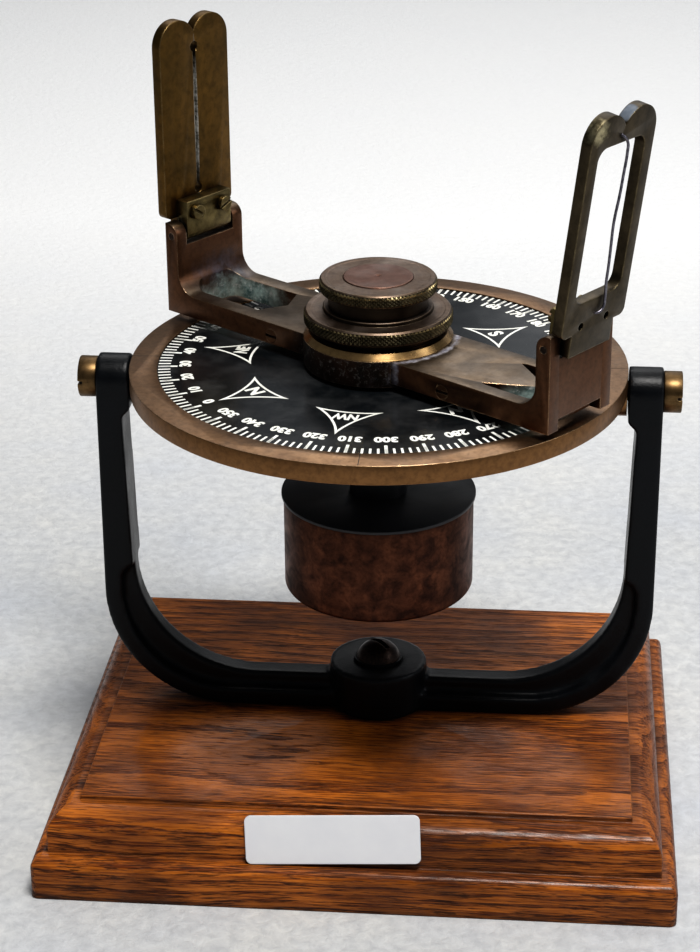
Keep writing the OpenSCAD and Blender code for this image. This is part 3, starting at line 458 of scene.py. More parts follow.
# Painted shade round the rear window's inner end: dark blue-grey, with paler patches.
REAR_WINDOW_SHADE = (blackened_mask, 0.55, 0.3, (0.020, 0.022, 0.030), [
    ((0.10, 0.11, 0.15), 1, (160, 5, 0.7), 0.4, 0.62)])
VERDIGRIS = (verdigris_mask, 0.8, 0.85, (0.10, 0.19, 0.19), [
    ((0.60, 0.76, 0.72), 1, (150, 6, 0.7), 0.38, 0.62),
    ((0.94, 0.97, 0.95), 0.8, (520, 4, 0.7), 0.55, 0.7)])
OXIDE = (oxide_mask, 0.7, 0.6, (0.13, 0.12, 0.15), [
    ((0.36, 0.36, 0.40), 1, (330, 5, 0.7), 0.4, 0.6)])
# Painted highlight on the slit's walls: pale grey patches over dark grey, half as metallic as the bronze.
SLIT_HIGHLIGHT = (slit_mask, 0.4, 0.5, (0.10, 0.095, 0.08), [
    ((0.62, 0.61, 0.57), 1, (420, 4, 0.65), 0.40, 0.60)])
RUBBED_LOBE = (rubbed_lobe_mask, 0.34, 0, (0.62, 0.54, 0.33), [
    ((0.10, 0.085, 0.045), 1, (260, 4, 0.6), 0.40, 0.62)])
# Painted reflection: a blue-grey sheen on the notch's flank, mostly not metal.
NOTCH_SHEEN = (notch_mask, 0.6, 0.8, (0.085, 0.105, 0.135), [
    ((0.13, 0.15, 0.18), 1, (300, 4, 0.6), 0.40, 0.62)])

# walls= below is painted shade: upright walls take a darker, more saturated tone of the same bronze than the tops.
bar_bronze = bronze(
    "bar_bronze", (0.175, 0.128, 0.086), (0.112, 0.084, 0.060), (0.035, 0.022, 0.015),
    (0.62, 0.42, 0.25), rough=(0.32, 0.46), walls=(0.135, 0.058, 0.028),
    stains_and_painted_light=[HUB_LACQUER, REAR_WINDOW_SHADE, VERDIGRIS, OXIDE])
ring_bronze = bronze(
    "ring_bronze", (0.290, 0.178, 0.100), (0.200, 0.118, 0.068), (0.050, 0.028, 0.016),
    (0.85, 0.60, 0.36), rough=(0.32, 0.46), walls=(0.24, 0.120, 0.045), wear=1, radius=0.0005,
    patch=30, dust=0.15)
pivot_bronze = bronze(
    "pivot_bronze", (0.185, 0.115, 0.052), (0.100, 0.064, 0.031), (0.018, 0.013, 0.009),
    (0.62, 0.44, 0.22), rough=(0.36, 0.50), wear=0.6, patch=90, dust=0.1)
rear_vane_bronze = bronze(
    "rear_vane_bronze", (0.170, 0.092, 0.024), (0.090, 0.056, 0.018), (0.018, 0.014, 0.008),
    (0.50, 0.38, 0.20), rough=(0.34, 0.48), wear=0.55, radius=0.0009, patch=34, spots=300, dust=0.1,
    stains_and_painted_light=[SLIT_HIGHLIGHT])
front_vane_bronze = bronze(
    "front_vane_bronze", (0.092, 0.070, 0.042), (0.056, 0.044, 0.028), (0.015, 0.012, 0.009),
    (0.46, 0.37, 0.21), rough=(0.32, 0.46), wear=0.5, radius=0.0009, patch=60, spots=300, dust=0.1,
    stains_and_painted_light=[RUBBED_LOBE, NOTCH_SHEEN])
hinge_brass = bronze(
    "hinge_brass", (0.25, 0.190, 0.080), (0.145, 0.110, 0.050), (0.025, 0.018, 0.010),
    (0.62, 0.48, 0.24), rough=(0.28, 0.44), wear=0.8, patch=110, dust=0.15)
screw_brass = bronze(
    "screw_brass", (0.40, 0.255, 0.105), (0.22, 0.140, 0.060), (0.03, 0.02, 0.01),
    (0.80, 0.58, 0.30), rough=(0.22, 0.40), wear=0.8, radius=0.0004, patch=120, dust=0.1)
knob_bronze = bronze(
    "knob_bronze", (0.205, 0.145, 0.106), (0.142, 0.098, 0.072), (0.024, 0.016, 0.011),
    (0.72, 0.52, 0.28), rough=(0.36, 0.48), wear=0.5, radius=0.0004, patch=80, rings=0.8, dust=0.5,
    walls=(0.028, 0.022, 0.015))
collar_brass = bronze(
    "collar_brass", (0.60, 0.385, 0.165), (0.45, 0.28, 0.125), (0.12, 0.065, 0.03),
    (0.92, 0.68, 0.38), rough=(0.20, 0.32), wear=0.6, radius=0.0003, patch=60, occlusion_shade=0.5, rings=0.5, dust=0.1)
cap_copper = bronze(
    "cap_copper", (0.185, 0.092, 0.066), (0.132, 0.078, 0.060), (0.06, 0.03, 0.022),
    (0.80, 0.50, 0.36), rough=(0.36, 0.46), wear=0.8, radius=0.0004, patch=90, rings=0.5, dust=0.5)
weight_copper = bronze(
    "weight_copper", (0.150, 0.058, 0.032), (0.050, 0.024, 0.018), (0.012, 0.008, 0.007),
    (0.34, 0.18, 0.11), rough=(0.40, 0.58), wear=0.5, radius=0.0007, patch=120, spots=640, dust=0.05)


def make_knurled_bronze():
    """The knurled rims: nearly black in their grooves, rubbed to brass on the teeth along each top edge."""
    made = Finish("knurled_bronze", Metallic=1, Roughness=0.3)
    tree, where = made.tree, made.where
    height = lathe(tree, where)["Height"]
    lower_edge = stretch(tree, height, LOWER_RIM_TOP - 0.0016, LOWER_RIM_TOP - 0.0006)
    below_upper = stretch(tree, height, LOWER_RIM_TOP + 0.0016, LOWER_RIM_TOP + 0.0010)
    upper_edge = stretch(tree, height, UPPER_RIM_TOP - 0.0020, UPPER_RIM_TOP - 0.0008)
    rubbed = calc(tree, "MAXIMUM", times(tree, lower_edge, below_upper), upper_edge)
    broken = patchy(tree, where, (120, 4, 0.65), 0.36, 0.54, 0.15, 1)
    mottle = made.mottle(90, 600)
    tone = mix(tree, mottle["Patches"], (0.075, 0.062, 0.034), (0.165, 0.132, 0.074))
    tone = mix(tree, mottle["Spots"], tone, (0.016, 0.012, 0.008))
    tone = mix(tree, times(tree, rubbed, broken), tone, (0.88, 0.68, 0.34))
    return made.finished(
        tone,
        blend_value(tree, rubbed, 0.42, 0.2),
        mottle["Height"], 0.00004, 0.5)


def mottled(name, patch, spots, radius, wear, tones, rough, depth, strength, spot_tone=None, **shader_values):
    """Patches of two tones, spots over them if they have a tone, and rubbed edges of the third."""
    made = Finish(name, **shader_values)
    tree = made.tree
    mottle, edges = made.mottle(patch, spots), made.edges(radius, wear)
    tone = mix(tree, mottle["Patches"], tones[0], tones[1])
    if spot_tone is not None:
        tone = mix(tree, mottle["Spots"], tone, spot_tone)
    tone = mix(tree, edges["Wear"], tone, tones[2])
    roughness = blend_value(tree, mottle["Patches"], *rough)
    return made.finished(tone, roughness, mottle["Height"], depth, strength, edges["Normal"])


def gritty(name, grain, low, high, tones, rough, **shader_values):
    """One fine noise that sets the tone, the roughness and the bump."""
    made = Finish(name, **shader_values)
    grit = noise(made.tree, made.where, *grain)
    tone = mix(made.tree, stretch(made.tree, grit, low, high), *tones)
    return made.finished(tone, stretch(made.tree, grit, 0.3, 0.7, *rough), grit, 0.00004, 0.6)


def make_yoke_paint():
    """Brushed black enamel over a casting: slightly blue, uneven, with pinholes and a few rubbed edges."""
    made = Finish("yoke_paint", Roughness=0.34, IOR=1.5, Specular_IOR_Level=0.2)
    tree, where = made.tree, made.where
    mottle = made.mottle(38, 850)
    edges = made.edges(0.0012, 0.25, 160)
    tone = mix(tree, mottle["Patches"], (0.0020, 0.0026, 0.0036), (0.0042, 0.0052, 0.0070))
    tone = mix(tree, edges["Wear"], tone, (0.035, 0.036, 0.040))
    lint = made.lint(0.12)
    tone = mix(tree, lint, tone, (0.3, 0.3, 0.3))
    return made.finished(
        tone,
        blend_value(tree, mottle["Patches"], 0.28, 0.44),
        plus(tree, noise(tree, where, 150, 5, 0.62), times(tree, mottle["Spots"], 0.25)), 0.0003, 0.5)


def make_oak():
    made = Finish("stained_oak", Roughness=0.5, IOR=1.45, Specular_IOR_Level=0.2, Coat_Weight=0.1, Coat_Roughness=0.17)
    tree, where = made.tree, made.where
    grain = use(tree, OAK_GRAIN, {"Vector": where, "Early Wood": (0.620, 0.190, 0.024),
                                  "Late Wood": (0.160, 0.036, 0.006), "Pore": (0.014, 0.004, 0.002)})
    edges = made.edges(0.0010, 0.8, 120)
    clouds = patchy(tree, where, (17, 3, 0.5), 0.42, 0.62, 0, 0.55)
    tone = mix(tree, clouds, grain["Color"], (0.075, 0.020, 0.006))
    # Painted shade: near-black laid where the surface is occluded, in the moulding's corners and crevices.
    tone = mix(tree, times(tree, edges["Occlusion Shade"], 0.7), tone, (0.016, 0.006, 0.003))
    tone = mix(tree, edges["Wear"], tone, (0.52, 0.21, 0.07))
    varnish = patchy(tree, where, (90, 4, 0.6), 0.3, 0.7, 0.02, 0.22)
    fill(tree, made.shader, {"Coat Weight": calc(tree, "MAXIMUM", varnish, edges["Wear"])})
    roughness = blend_value(tree, grain["Pores"], 0.34, 0.6)
    return made.finished(tone, roughness, grain["Height"], 0.00022, 0.6, edges["Normal"])


def make_label():
    made = Finish("label_card", Roughness=0.42, IOR=1.45, Coat_Weight=0.3, Coat_Roughness=0.2)
    tree, where = made.tree, made.where
    fibres = noise(tree, where, 2600, 3, 0.6)
    cloud = noise(tree, where, 70, 4, 0.6)
    tone = mix(tree, stretch(tree, cloud, 0.35, 0.7), (0.95, 0.95, 0.97), (0.91, 0.91, 0.94))
    edges = made.edges(0.0005, 0.2, 400)
    tone = mix(tree, edges["Wear"], tone, (0.50, 0.48, 0.46))
    return made.finished(
        tone,
        stretch(tree, fibres, 0.3, 0.7, 0.36, 0.5),
        fibres, 0.00003, 0.4, edges["Normal"])


def make_dial_enamel():
    """Glossy black dial: fine hairline scratches, a faint dull film and a little dust."""
    made = Finish("dial_enamel", Roughness=0.2, IOR=1.5)
    tree, where = made.tree, made.where
    film = noise(tree, where, 42, 5, 0.62, 0.6)
    hair_way = put(tree, "ShaderNodeMapping",
                   {"Vector": where, "Rotation": (0, 0, 0.5), "Scale": (0.05, 1, 1)}).outputs[0]
    hair = patchy(tree, hair_way, (1500, 2, 0.5), 0.66, 0.72)
    tone = mix(tree, stretch(tree, film, 0.35, 0.7), (0.0042, 0.0054, 0.0066), (0.0072, 0.0088, 0.0104))
    tone = mix(tree, times(tree, hair, 0.12), tone, (0.10, 0.10, 0.10))
    lint = made.lint(0.18)
    tone = mix(tree, lint, tone, (0.45, 0.45, 0.45))
    return made.finished(
        tone,
        plus(tree, stretch(tree, film, 0.35, 0.7, 0.17, 0.20), times(tree, lint, 0.5)),
        plus(tree, times(tree, film, 0.3), times(tree, hair, -0.1)), 0.00002, 0.25)


def make_dial_white():
    made = Finish("dial_white", Roughness=0.55, IOR=1.45)
    tree, where = made.tree, made.where
    chips = noise(tree, where, 900, 5, 0.7)
    yellowing = noise(tree, where, 70, 4, 0.6)
    tone = mix(tree, stretch(tree, yellowing, 0.35, 0.7), (0.90, 0.90, 0.86), (0.76, 0.76, 0.69))
    tone = mix(tree, stretch(tree, chips, 0.66, 0.78), tone, (0.16, 0.16, 0.15))
    return made.finished(
        tone,
        stretch(tree, chips, 0.3, 0.7, 0.45, 0.7),
        chips, 0.00003, 0.5)


knurled_bronze = make_knurled_bronze()
black_iron = mottled(
    "black_iron", 60, 700, 0.0007, 0.35, [(0.012, 0.013, 0.015), (0.024, 0.025, 0.029), (0.075, 0.07, 0.07)],
    (0.36, 0.52), 0.00012, 0.5, Metallic=0, Roughness=0.42, IOR=1.5)
yoke_paint = make_yoke_paint()
stained_oak = make_oak()
label_card_face = make_label()
dial_enamel = make_dial_enamel()
dial_white = make_dial_white()
engraved_line = gritty("engraved_line", (1400, 4, 0.7), 0.35, 0.7, [(0.010, 0.008, 0.006), (0.05, 0.035, 0.025)],
                       (0.55, 0.85), Roughness=0.7, Metallic=0.2)
tinned_wire = gritty("tinned_wire", (500, 5, 0.65), 0.4, 0.62, [(0.20, 0.19, 0.22), (0.09, 0.085, 0.105)],
                     (0.28, 0.5), Metallic=1, Roughness=0.34)
browned_screw = mottled(
    "browned_screw", 160, 900, 0.0004, 0.6, [(0.062, 0.036, 0.026), (0.026, 0.017, 0.014), (0.36, 0.28, 0.20)],
    (0.28, 0.5), 0.00008, 0.6, (0.010, 0.008, 0.007), Metallic=0.9, Roughness=0.36)

MATERIAL_OF_NODE = {node: material for material, nodes in (
    (stained_oak, "base_board"), (label_card_face, "label_card"), (yoke_paint, "yoke yoke_washer"),
    (browned_screw, "yoke_screw front_hinge_pin rear_hinge_pin"), (pivot_bronze, "pivot_screws"),
    (ring_bronze, "compass_ring"), (black_iron, "ring_spider weight_stem weight_cap"),
    (screw_brass, "spider_screws spindle weight_nut card_hub"), (weight_copper, "counterweight"),
    (dial_enamel, "compass_card"), (bar_bronze, "sight_bar bar_set_screws"), (collar_brass, "hub_collar"),
    (knob_bronze, "lower_knob upper_knob"), (cap_copper, "knob_cap"), (rear_vane_bronze, "rear_vane"),
    (hinge_brass, "rear_hinge_block rear_vane_screws front_hinge_block front_vane_screws"),
    (front_vane_bronze, "front_vane"), (tinned_wire, "sight_wire")) for node in nodes.split()}


# ---- mesh helpers

def mesh_from(bm, name):
    mesh = bpy.data.meshes.new(name)
    bm.to_mesh(mesh)
    bm.free()
    return mesh


def linked(name, data):
    made = bpy.data.objects.new(name, data)
    bpy.context.scene.collection.objects.link(made)
    return made


def new_object(name, mesh, material):
    mesh.materials.clear()
    mesh.materials.append(material)
    return linked(name, mesh)


def evaluated_mesh(made):
    graph = bpy.context.evaluated_depsgraph_get()
    return bpy.data.meshes.new_from_object(made.evaluated_get(graph))


def curve_mesh(name, curve):
    """The plain mesh of a curve or a text."""
    held = linked(name, curve)
    mesh = evaluated_mesh(held)
    bpy.data.objects.remove(held)
    return mesh


def shade_by_angle(mesh, degrees=32.0):
    for face in mesh.polygons:
        face.use_smooth = True
    mesh.set_sharp_from_angle(angle=math.radians(degrees))


def baked(made, name, degrees=32.0):
    """The object with its modifiers worked into a plain mesh."""
    mesh = evaluated_mesh(made)
    made.modifiers.clear()
    made.data = mesh
    made.name = mesh.name = name
    shade_by_angle(mesh, degrees)
    return made


def merged_copy(node_name):
    """A copy of a CAD node's mesh with its doubles merged and its flat faces whole."""
    bm = bmesh.new()
    bm.from_mesh(NODES[node_name].data)
    bmesh.ops.remove_doubles(bm, verts=bm.verts, dist=2e-6)
    bmesh.ops.dissolve_limit(bm, angle_limit=math.radians(0.4), verts=bm.verts, edges=bm.edges)
    mesh = mesh_from(bm, node_name + "_copy")
    if "custom_normal" in mesh.attributes:
        mesh.attributes.remove(mesh.attributes["custom_normal"])
    return mesh


def stands_for(made, *node_names):
    """The piece rides on the body of the nodes that it replaces, and those nodes are hidden."""
    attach(made, BODY_OF[node_names[0]])
    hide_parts(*node_names)


def eased(node_name, name, width, segments=2, degrees=32.0):
    """A CAD node with its edges broken, as a file or a polishing wheel leaves them."""
    made = new_object(name, merged_copy(node_name), MATERIAL_OF_NODE[node_name])
    bevel = made.modifiers.new("eased", "BEVEL")
    bevel.width = width
    bevel.segments = segments
    bevel.limit_method = "ANGLE"
    bevel.angle_limit = math.radians(degrees)
    bevel.use_clamp_overlap = True
    bevel.miter_outer = "MITER_ARC"
    stands_for(baked(made, name), node_name)


def turned(name, profile, material, segments=128):
    """A lathe-turned solid round the spindle: a profile of (radius, height) from the axis out and back to it."""
    bm = bmesh.new()
    rings = []
    for radius, height in profile:
        if radius < 1e-7:
            rings.append([bm.verts.new((0, 0, height))])
        else:
            turn = 2 * math.pi / segments
            rings.append([bm.verts.new((radius * math.cos(k * turn), radius * math.sin(k * turn), height))
                          for k in range(segments)])
    for low, high in zip(rings, rings[1:]):
        for k in range(segments):
            after = (k + 1) % segments
            if len(low) == 1:
                bm.faces.new((low[0], high[after], high[k]))
            elif len(high) == 1:
                bm.faces.new((low[k], low[after], high[0]))
            else:
                bm.faces.new((low[k], low[after], high[after], high[k]))
    bmesh.ops.recalc_face_normals(bm, faces=bm.faces)
    mesh = mesh_from(bm, name)
    shade_by_angle(mesh, 10.0)
    return new_object(name, mesh, material)


# ---- geometry node trees

def new_tree(name, inputs):
    tree = bpy.data.node_groups.new(name, "GeometryNodeTree")
    tree.interface.new_socket("Geometry", in_out="INPUT", socket_type="NodeSocketGeometry")
    for label, kind in inputs:
        tree.interface.new_socket(label, in_out="INPUT", socket_type=kind)
    tree.interface.new_socket("Geometry", in_out="OUTPUT", socket_type="NodeSocketGeometry")
    return tree, tree.nodes.new("NodeGroupInput").outputs, tree.nodes.new("NodeGroupOutput")


def geo(tree, kind, inputs=None, **settings):
    return put(tree, "GeometryNode" + kind, inputs, **settings).outputs[0]


def close_tree(tree, geometry, material, out):
    """The tree's last two nodes: whole meshes in place of instances, and their material."""
    real = geo(tree, "RealizeInstances", {0: geometry})
    fill(tree, out, {0: geo(tree, "SetMaterial", {"Geometry": real, "Material": material})})


def make_tick_tree():
    """A row of equal ticks round the dial, clockwise from the first."""
    tree, given, out = new_tree("dial_ticks", [
        ("Count", "NodeSocketInt"), ("Step", FLOAT), ("First", FLOAT), ("Inner Radius", FLOAT),
        ("Outer Radius", FLOAT), ("Width", FLOAT), ("Bottom", FLOAT), ("Thickness", FLOAT),
        ("Material", "NodeSocketMaterial")])
    inner, outer = given["Inner Radius"], given["Outer Radius"]
    size = combined(tree, {0: minus(tree, outer, inner), 1: given["Width"], 2: given["Thickness"]})
    tick = geo(tree, "MeshCube", {"Size": size})
    height = plus(tree, given["Bottom"], times(tree, given["Thickness"], 0.5))
    place = combined(tree, {0: times(tree, plus(tree, inner, outer), 0.5), 2: height})
    moved = geo(tree, "Transform", {"Geometry": tick, "Translation": place})
    points = geo(tree, "MeshLine", {"Count": given["Count"], "Offset": (0.0, 0.0, 0.0)})
    angle = minus(tree, given["First"], times(tree, geo(tree, "InputIndex"), given["Step"]))
    turn = combined(tree, {2: angle})
    placed = geo(tree, "InstanceOnPoints", {"Points": points, "Instance": moved, "Rotation": turn})
    close_tree(tree, placed, given["Material"], out)
    return tree


def make_knurl_tree():
    """Diamond knurling: rows of small four-sided teeth that stand on a turned rim."""
    tree, given, out = new_tree("knurled_rim", [
        ("Around", "NodeSocketInt"), ("Rows", "NodeSocketInt"), ("Rim Radius", FLOAT), ("Lowest Row", FLOAT),
        ("Tooth Width", FLOAT), ("Tooth Height", FLOAT), ("Tooth Depth", FLOAT), ("Material", "NodeSocketMaterial")])
    around, tall = given["Around"], given["Tooth Height"]
    tooth = geo(tree, "MeshCone", {
        "Vertices": 4, "Side Segments": 1, "Fill Segments": 1, "Radius Top": 0.0,
        "Radius Bottom": times(tree, given["Tooth Width"], 0.5), "Depth": given["Tooth Depth"]}, fill_type="NGON")
    # The cone stands along Z: it is laid over to point outward along X, with its tall diagonal upright
    slim = combined(tree, {0: 1.0, 1: 1.0, 2: calc(tree, "DIVIDE", tall, given["Tooth Width"])})
    shaped = geo(tree, "Transform", {"Geometry": tooth, "Rotation": Euler((0, math.pi / 2, 0)), "Scale": slim})
    lifted = geo(tree, "Transform", {"Geometry": shaped, "Translation": combined(tree, {0: given["Rim Radius"]})})
    index = geo(tree, "InputIndex")
    row = calc(tree, "FLOOR", calc(tree, "DIVIDE", plus(tree, index, 0.5), around))
    column = minus(tree, index, times(tree, row, around))
    shift = times(tree, calc(tree, "MODULO", row, 2.0), 0.5)
    angle = times(tree, calc(tree, "DIVIDE", plus(tree, column, shift), around), 2 * math.pi)
    rise = plus(tree, given["Lowest Row"], times(tree, row, times(tree, tall, 0.5)))
    points = geo(tree, "MeshLine", {"Count": times(tree, around, given["Rows"]), "Offset": (0.0, 0.0, 0.0)})
    spread = geo(tree, "SetPosition", {"Geometry": points, "Position": combined(tree, {2: rise})})
    turn = combined(tree, {2: angle})
    placed = geo(tree, "InstanceOnPoints", {"Points": spread, "Instance": lifted, "Rotation": turn})
    close_tree(tree, placed, given["Material"], out)
    return tree


def run_tree(made, tree, values):
    """Gives the object the tree as a modifier, with its inputs set by their identifiers."""
    modifier = made.modifiers.new(tree.name, "NODES")
    modifier.node_group = tree
    for item in tree.interface.items_tree:
        if item.item_type == "SOCKET" and item.in_out == "INPUT" and item.name in values:
            modifier[item.identifier] = values[item.name]


TICKS = make_tick_tree()
KNURLING = make_knurl_tree()


# ---- the CAD nodes' finishes, the wooden base and the yoke

for node_name, material in MATERIAL_OF_NODE.items():
    mesh = NODES[node_name].data
    for place in range(len(mesh.materials)):
        mesh.materials[place] = material
    if not mesh.materials:
        mesh.materials.append(material)


def make_cast_yoke():
    """The yoke as a casting: the CAD shape with every edge rounded over and its faces a little uneven."""
    made = new_object("cast_yoke", merged_copy("yoke"), yoke_paint)
    skin = made.modifiers.new("skin", "REMESH")
    skin.mode = "VOXEL"
    skin.voxel_size = 0.00105
    skin.use_smooth_shade = True
    ease = made.modifiers.new("ease", "SMOOTH")
    ease.factor = 0.5
    ease.iterations = 5
    stands_for(baked(made, "cast_yoke", 70.0), "yoke")


make_cast_yoke()
eased("base_board", "moulded_base", 0.0007, 3, 24.0)
eased("pivot_screws", "pivot_screw_heads", 0.0005)

# ---- the ring and what hangs under it

eased("compass_ring", "gimbal_ring_turned", 0.00035)
eased("weight_cap", "weight_top_plate", 0.0003)
eased("counterweight", "weight_body", 0.0004)

# ---- the sight bar and its vanes

eased("sight_bar", "sight_bar_machined", 0.00045)
eased("rear_vane", "rear_vane_plate", 0.0008, 3)
eased("front_vane", "front_vane_frame", 0.0008, 3)
eased("rear_hinge_block", "rear_block", 0.0004)
eased("front_hinge_block", "front_block", 0.0004)


# ---- the clamp knobs

def make_knob(name, node_name, rim_low, rim_high, chamfer, foot, crown, around, rows, tooth_depth):
    """A knurled knob: a turned core whose rim is as deep as the knurl's valleys, and the teeth on it."""
    low, high = gimbal_box(node_name)
    core = (high.x - low.x) / 2 - tooth_depth
    profile = [(BORE, low.z), (foot, low.z), (foot, rim_low), (core - chamfer, rim_low), (core, rim_low + chamfer),
               (core, rim_high - chamfer), (core - chamfer, rim_high)]
    made = turned(name, profile + crown + [(BORE, low.z)], knob_bronze)
    made.data.transform(GIMBAL)
    stands_for(made, node_name)
    height = (rim_high - rim_low - 2 * chamfer) / (rows + 1) * 2
    teeth = new_object(name + "_teeth", bpy.data.meshes.new(name + "_teeth"), knurled_bronze)
    run_tree(teeth, KNURLING, {
        "Around": around, "Rows": rows, "Rim Radius": core - 0.00001, "Lowest Row": rim_low + chamfer + height / 2,
        "Tooth Width": 2 * math.pi * core / around, "Tooth Height": height, "Tooth Depth": tooth_depth,
        "Material": knurled_bronze})
    baked(teeth, name + "_teeth", 30.0)
    teeth.data.transform(GIMBAL)
    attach(teeth, BODY_OF[node_name])


def below(top, *points):
    """Profile points given as a radius and a depth under a height, in millimetres."""
    return [(radius * MM, top - down * MM) for radius, down in points]


BORE = 6.4 * MM
lower_low, lower_high = gimbal_box("lower_knob")
upper_low, upper_high = gimbal_box("upper_knob")
cap_low, cap_high = gimbal_box("knob_cap")
make_knob("lower_knurled_knob", "lower_knob", lower_low.z + 2.8 * MM, LOWER_RIM_TOP, 0.7 * MM, 25.0 * MM,
          below(LOWER_RIM_TOP, (27.4, 0), (27.0, 0.12), (22.5, 0.12)) +
          below(lower_high.z, (22.3, 0.25), (22.0, 0)) + [(BORE, lower_high.z)],
          around=104, rows=5, tooth_depth=0.6 * MM)
make_knob("upper_knurled_knob", "upper_knob", upper_low.z + 6.2 * MM, upper_high.z, 0.5 * MM, 20.3 * MM,
          below(upper_high.z, (21.2, 0), (20.8, 0.12), (14.35, 0.12)) +
          [(14.35 * MM, cap_low.z), (BORE, cap_low.z)],
          around=84, rows=5, tooth_depth=0.5 * MM)


def make_knob_cap():
    """The copper cap: a flat disc with a rounded rim and a small centre mark."""
    radius = (cap_high.x - cap_low.x) / 2
    top = cap_high.z
    made = turned("copper_cap", [
        (0.0, cap_low.z), (radius, cap_low.z), (radius, top - 0.5 * MM), (radius - 0.15 * MM, top - 0.18 * MM),
        (radius - 0.5 * MM, top), (1.5 * MM, top), (1.1 * MM, top - 0.12 * MM), (0.55 * MM, top - 0.35 * MM),
        (0.0, top - 0.75 * MM)], cap_copper)
    made.data.transform(GIMBAL)
    stands_for(made, "knob_cap")


make_knob_cap()


# ---- the sighting wire

WIRE_RADIUS = 0.55 * MM
FRONT_VANE_LEAN = math.radians(8.0)


def make_wire_run():
    """The wire as it was bent by hand, out of the upper hole, down over the window and into the lower hole."""
    pin = SIGHT_BAR.inverted() @ Vector(JOINTS["front_vane_fold"]["pos_m"])
    vane = SIGHT_BAR @ Matrix.Translation(pin) @ Matrix.Rotation(FRONT_VANE_LEAN, 4, "Y")
    bends = [(-1.5, 84.0), (1.2, 81.0), (2.0, 77.2), (1.9, 68.0), (1.7, 60.5), (0.8, 49.5), (1.5, 40.0), (2.2, 31.0),
             (2.4, 25.0), (3.4, 17.8), (3.1, 14.2), (0.4, 12.4)]
    route = [(3.2, *bends[0]), (7.3, *bends[0])] + [(8.2, *bend) for bend in bends[1:-1]]
    route += [(7.5, *bends[-1]), (3.2, *bends[-1])]
    run = bpy.data.curves.new("wire_run", "CURVE")
    run.dimensions = "3D"
    run.bevel_depth = WIRE_RADIUS
    run.bevel_resolution = 3
    run.resolution_u = 5
    run.use_fill_caps = True
    spline = run.splines.new("BEZIER")
    spline.bezier_points.add(len(route) - 1)
    for point, place in zip(spline.bezier_points, route):
        point.co = vane @ (Vector(place) * MM)
        point.handle_left_type = point.handle_right_type = "AUTO"
    mesh = curve_mesh("wire_run", run)
    shade_by_angle(mesh, 50.0)
    stands_for(new_object("bent_wire", mesh, tinned_wire), "sight_wire")


make_wire_run()


# ---- the card's markings

CARD_TOP = gimbal_box("compass_card")[1].z
MARK_BOTTOM = CARD_TOP - 0.05 * MM
MARK_THICK = 0.11 * MM
CARD_ZERO = math.radians(-143.7)
TICK_END = 89.8 * MM
# How large the print is, how far out it sits, and how far aside: in the photo it is off the ticks' centre
NUMERAL_SIZE, NUMERAL_RADIUS, NUMERAL_ASIDE = 6.3 * MM, 79.1 * MM, 2.6 * MM
ARROW_RADIUS, ARROW_ASIDE = 62.4 * MM, 1.2 * MM
ARROW_LENGTH, ARROW_HALF, ARROW_LINE = 24.2 * MM, 13.7 * MM, 1.0 * MM
POINT_RADIUS, POINT_ASIDE = 58.0 * MM, 1.8 * MM


def ticks(name, apart, inner, width):
    """Ticks every so many degrees, from an inner radius out to where all ticks end."""
    made = new_object(name, bpy.data.meshes.new(name), dial_white)
    run_tree(made, TICKS, {
        "Count": 360 // apart, "Step": math.radians(apart), "First": CARD_ZERO, "Inner Radius": inner,
        "Outer Radius": TICK_END, "Width": width, "Bottom": MARK_BOTTOM, "Thickness": MARK_THICK,
        "Material": dial_white})
    return baked(made, name)


def lettering(text, size, bold):
    """A word as a thin solid, centred on the origin and standing up along Y."""
    font = bpy.data.curves.new("mark", "FONT")
    font.body = text
    font.size = size
    font.offset = bold
    font.align_x = "CENTER"
    font.align_y = "CENTER"
    font.extrude = MARK_THICK / 2
    font.resolution_u = 4
    mesh = curve_mesh("mark", font)
    low = [min(vertex.co[axis] for vertex in mesh.vertices) for axis in (0, 1)]
    high = [max(vertex.co[axis] for vertex in mesh.vertices) for axis in (0, 1)]
    mesh.transform(Matrix.Translation((-(low[0] + high[0]) / 2, -(low[1] + high[1]) / 2, 0)))
    return mesh


def on_dial(mesh, bearing, radius, aside, wide=1.0):
    """The mesh moved to a bearing on the card, with its top outward, and moved aside as the print sits off centre."""
    angle = CARD_ZERO - math.radians(bearing)
    spot = (radius * math.cos(angle), radius * math.sin(angle) + aside, MARK_BOTTOM + MARK_THICK / 2)
    turn = Matrix.Rotation(angle - math.pi / 2, 4, "Z")
    mesh.transform(Matrix.Translation(spot) @ turn @ Matrix.Diagonal((wide, 1, 1, 1)))
    return mesh


def joined(name, meshes):
    bm = bmesh.new()
    for mesh in meshes:
        bm.from_mesh(mesh)
    made = mesh_from(bm, name)
    for face in made.polygons:
        face.use_smooth = False
        face.material_index = 0
    return new_object(name, made, dial_white)


def outline_plate(outer, inner):
    """A flat frame between two outlines of as many points, as thick as the dial's marks."""
    bm = bmesh.new()
    count = len(outer)
    layers = []
    for z in (-MARK_THICK / 2, MARK_THICK / 2):
        layers.append([[bm.verts.new((x, y, z)) for x, y in line] for line in (outer, inner)])
    for k in range(count):
        after = (k + 1) % count
        for z, order in ((1, 1), (0, -1)):
            corners = [layers[z][0][k], layers[z][0][after], layers[z][1][after], layers[z][1][k]]
            bm.faces.new(corners[::order])
        bm.faces.new([layers[0][0][k], layers[0][0][after], layers[1][0][after], layers[1][0][k]])
        bm.faces.new([layers[0][1][after], layers[0][1][k], layers[1][1][k], layers[1][1][after]])
    bmesh.ops.recalc_face_normals(bm, faces=bm.faces)
    return mesh_from(bm, "frame")


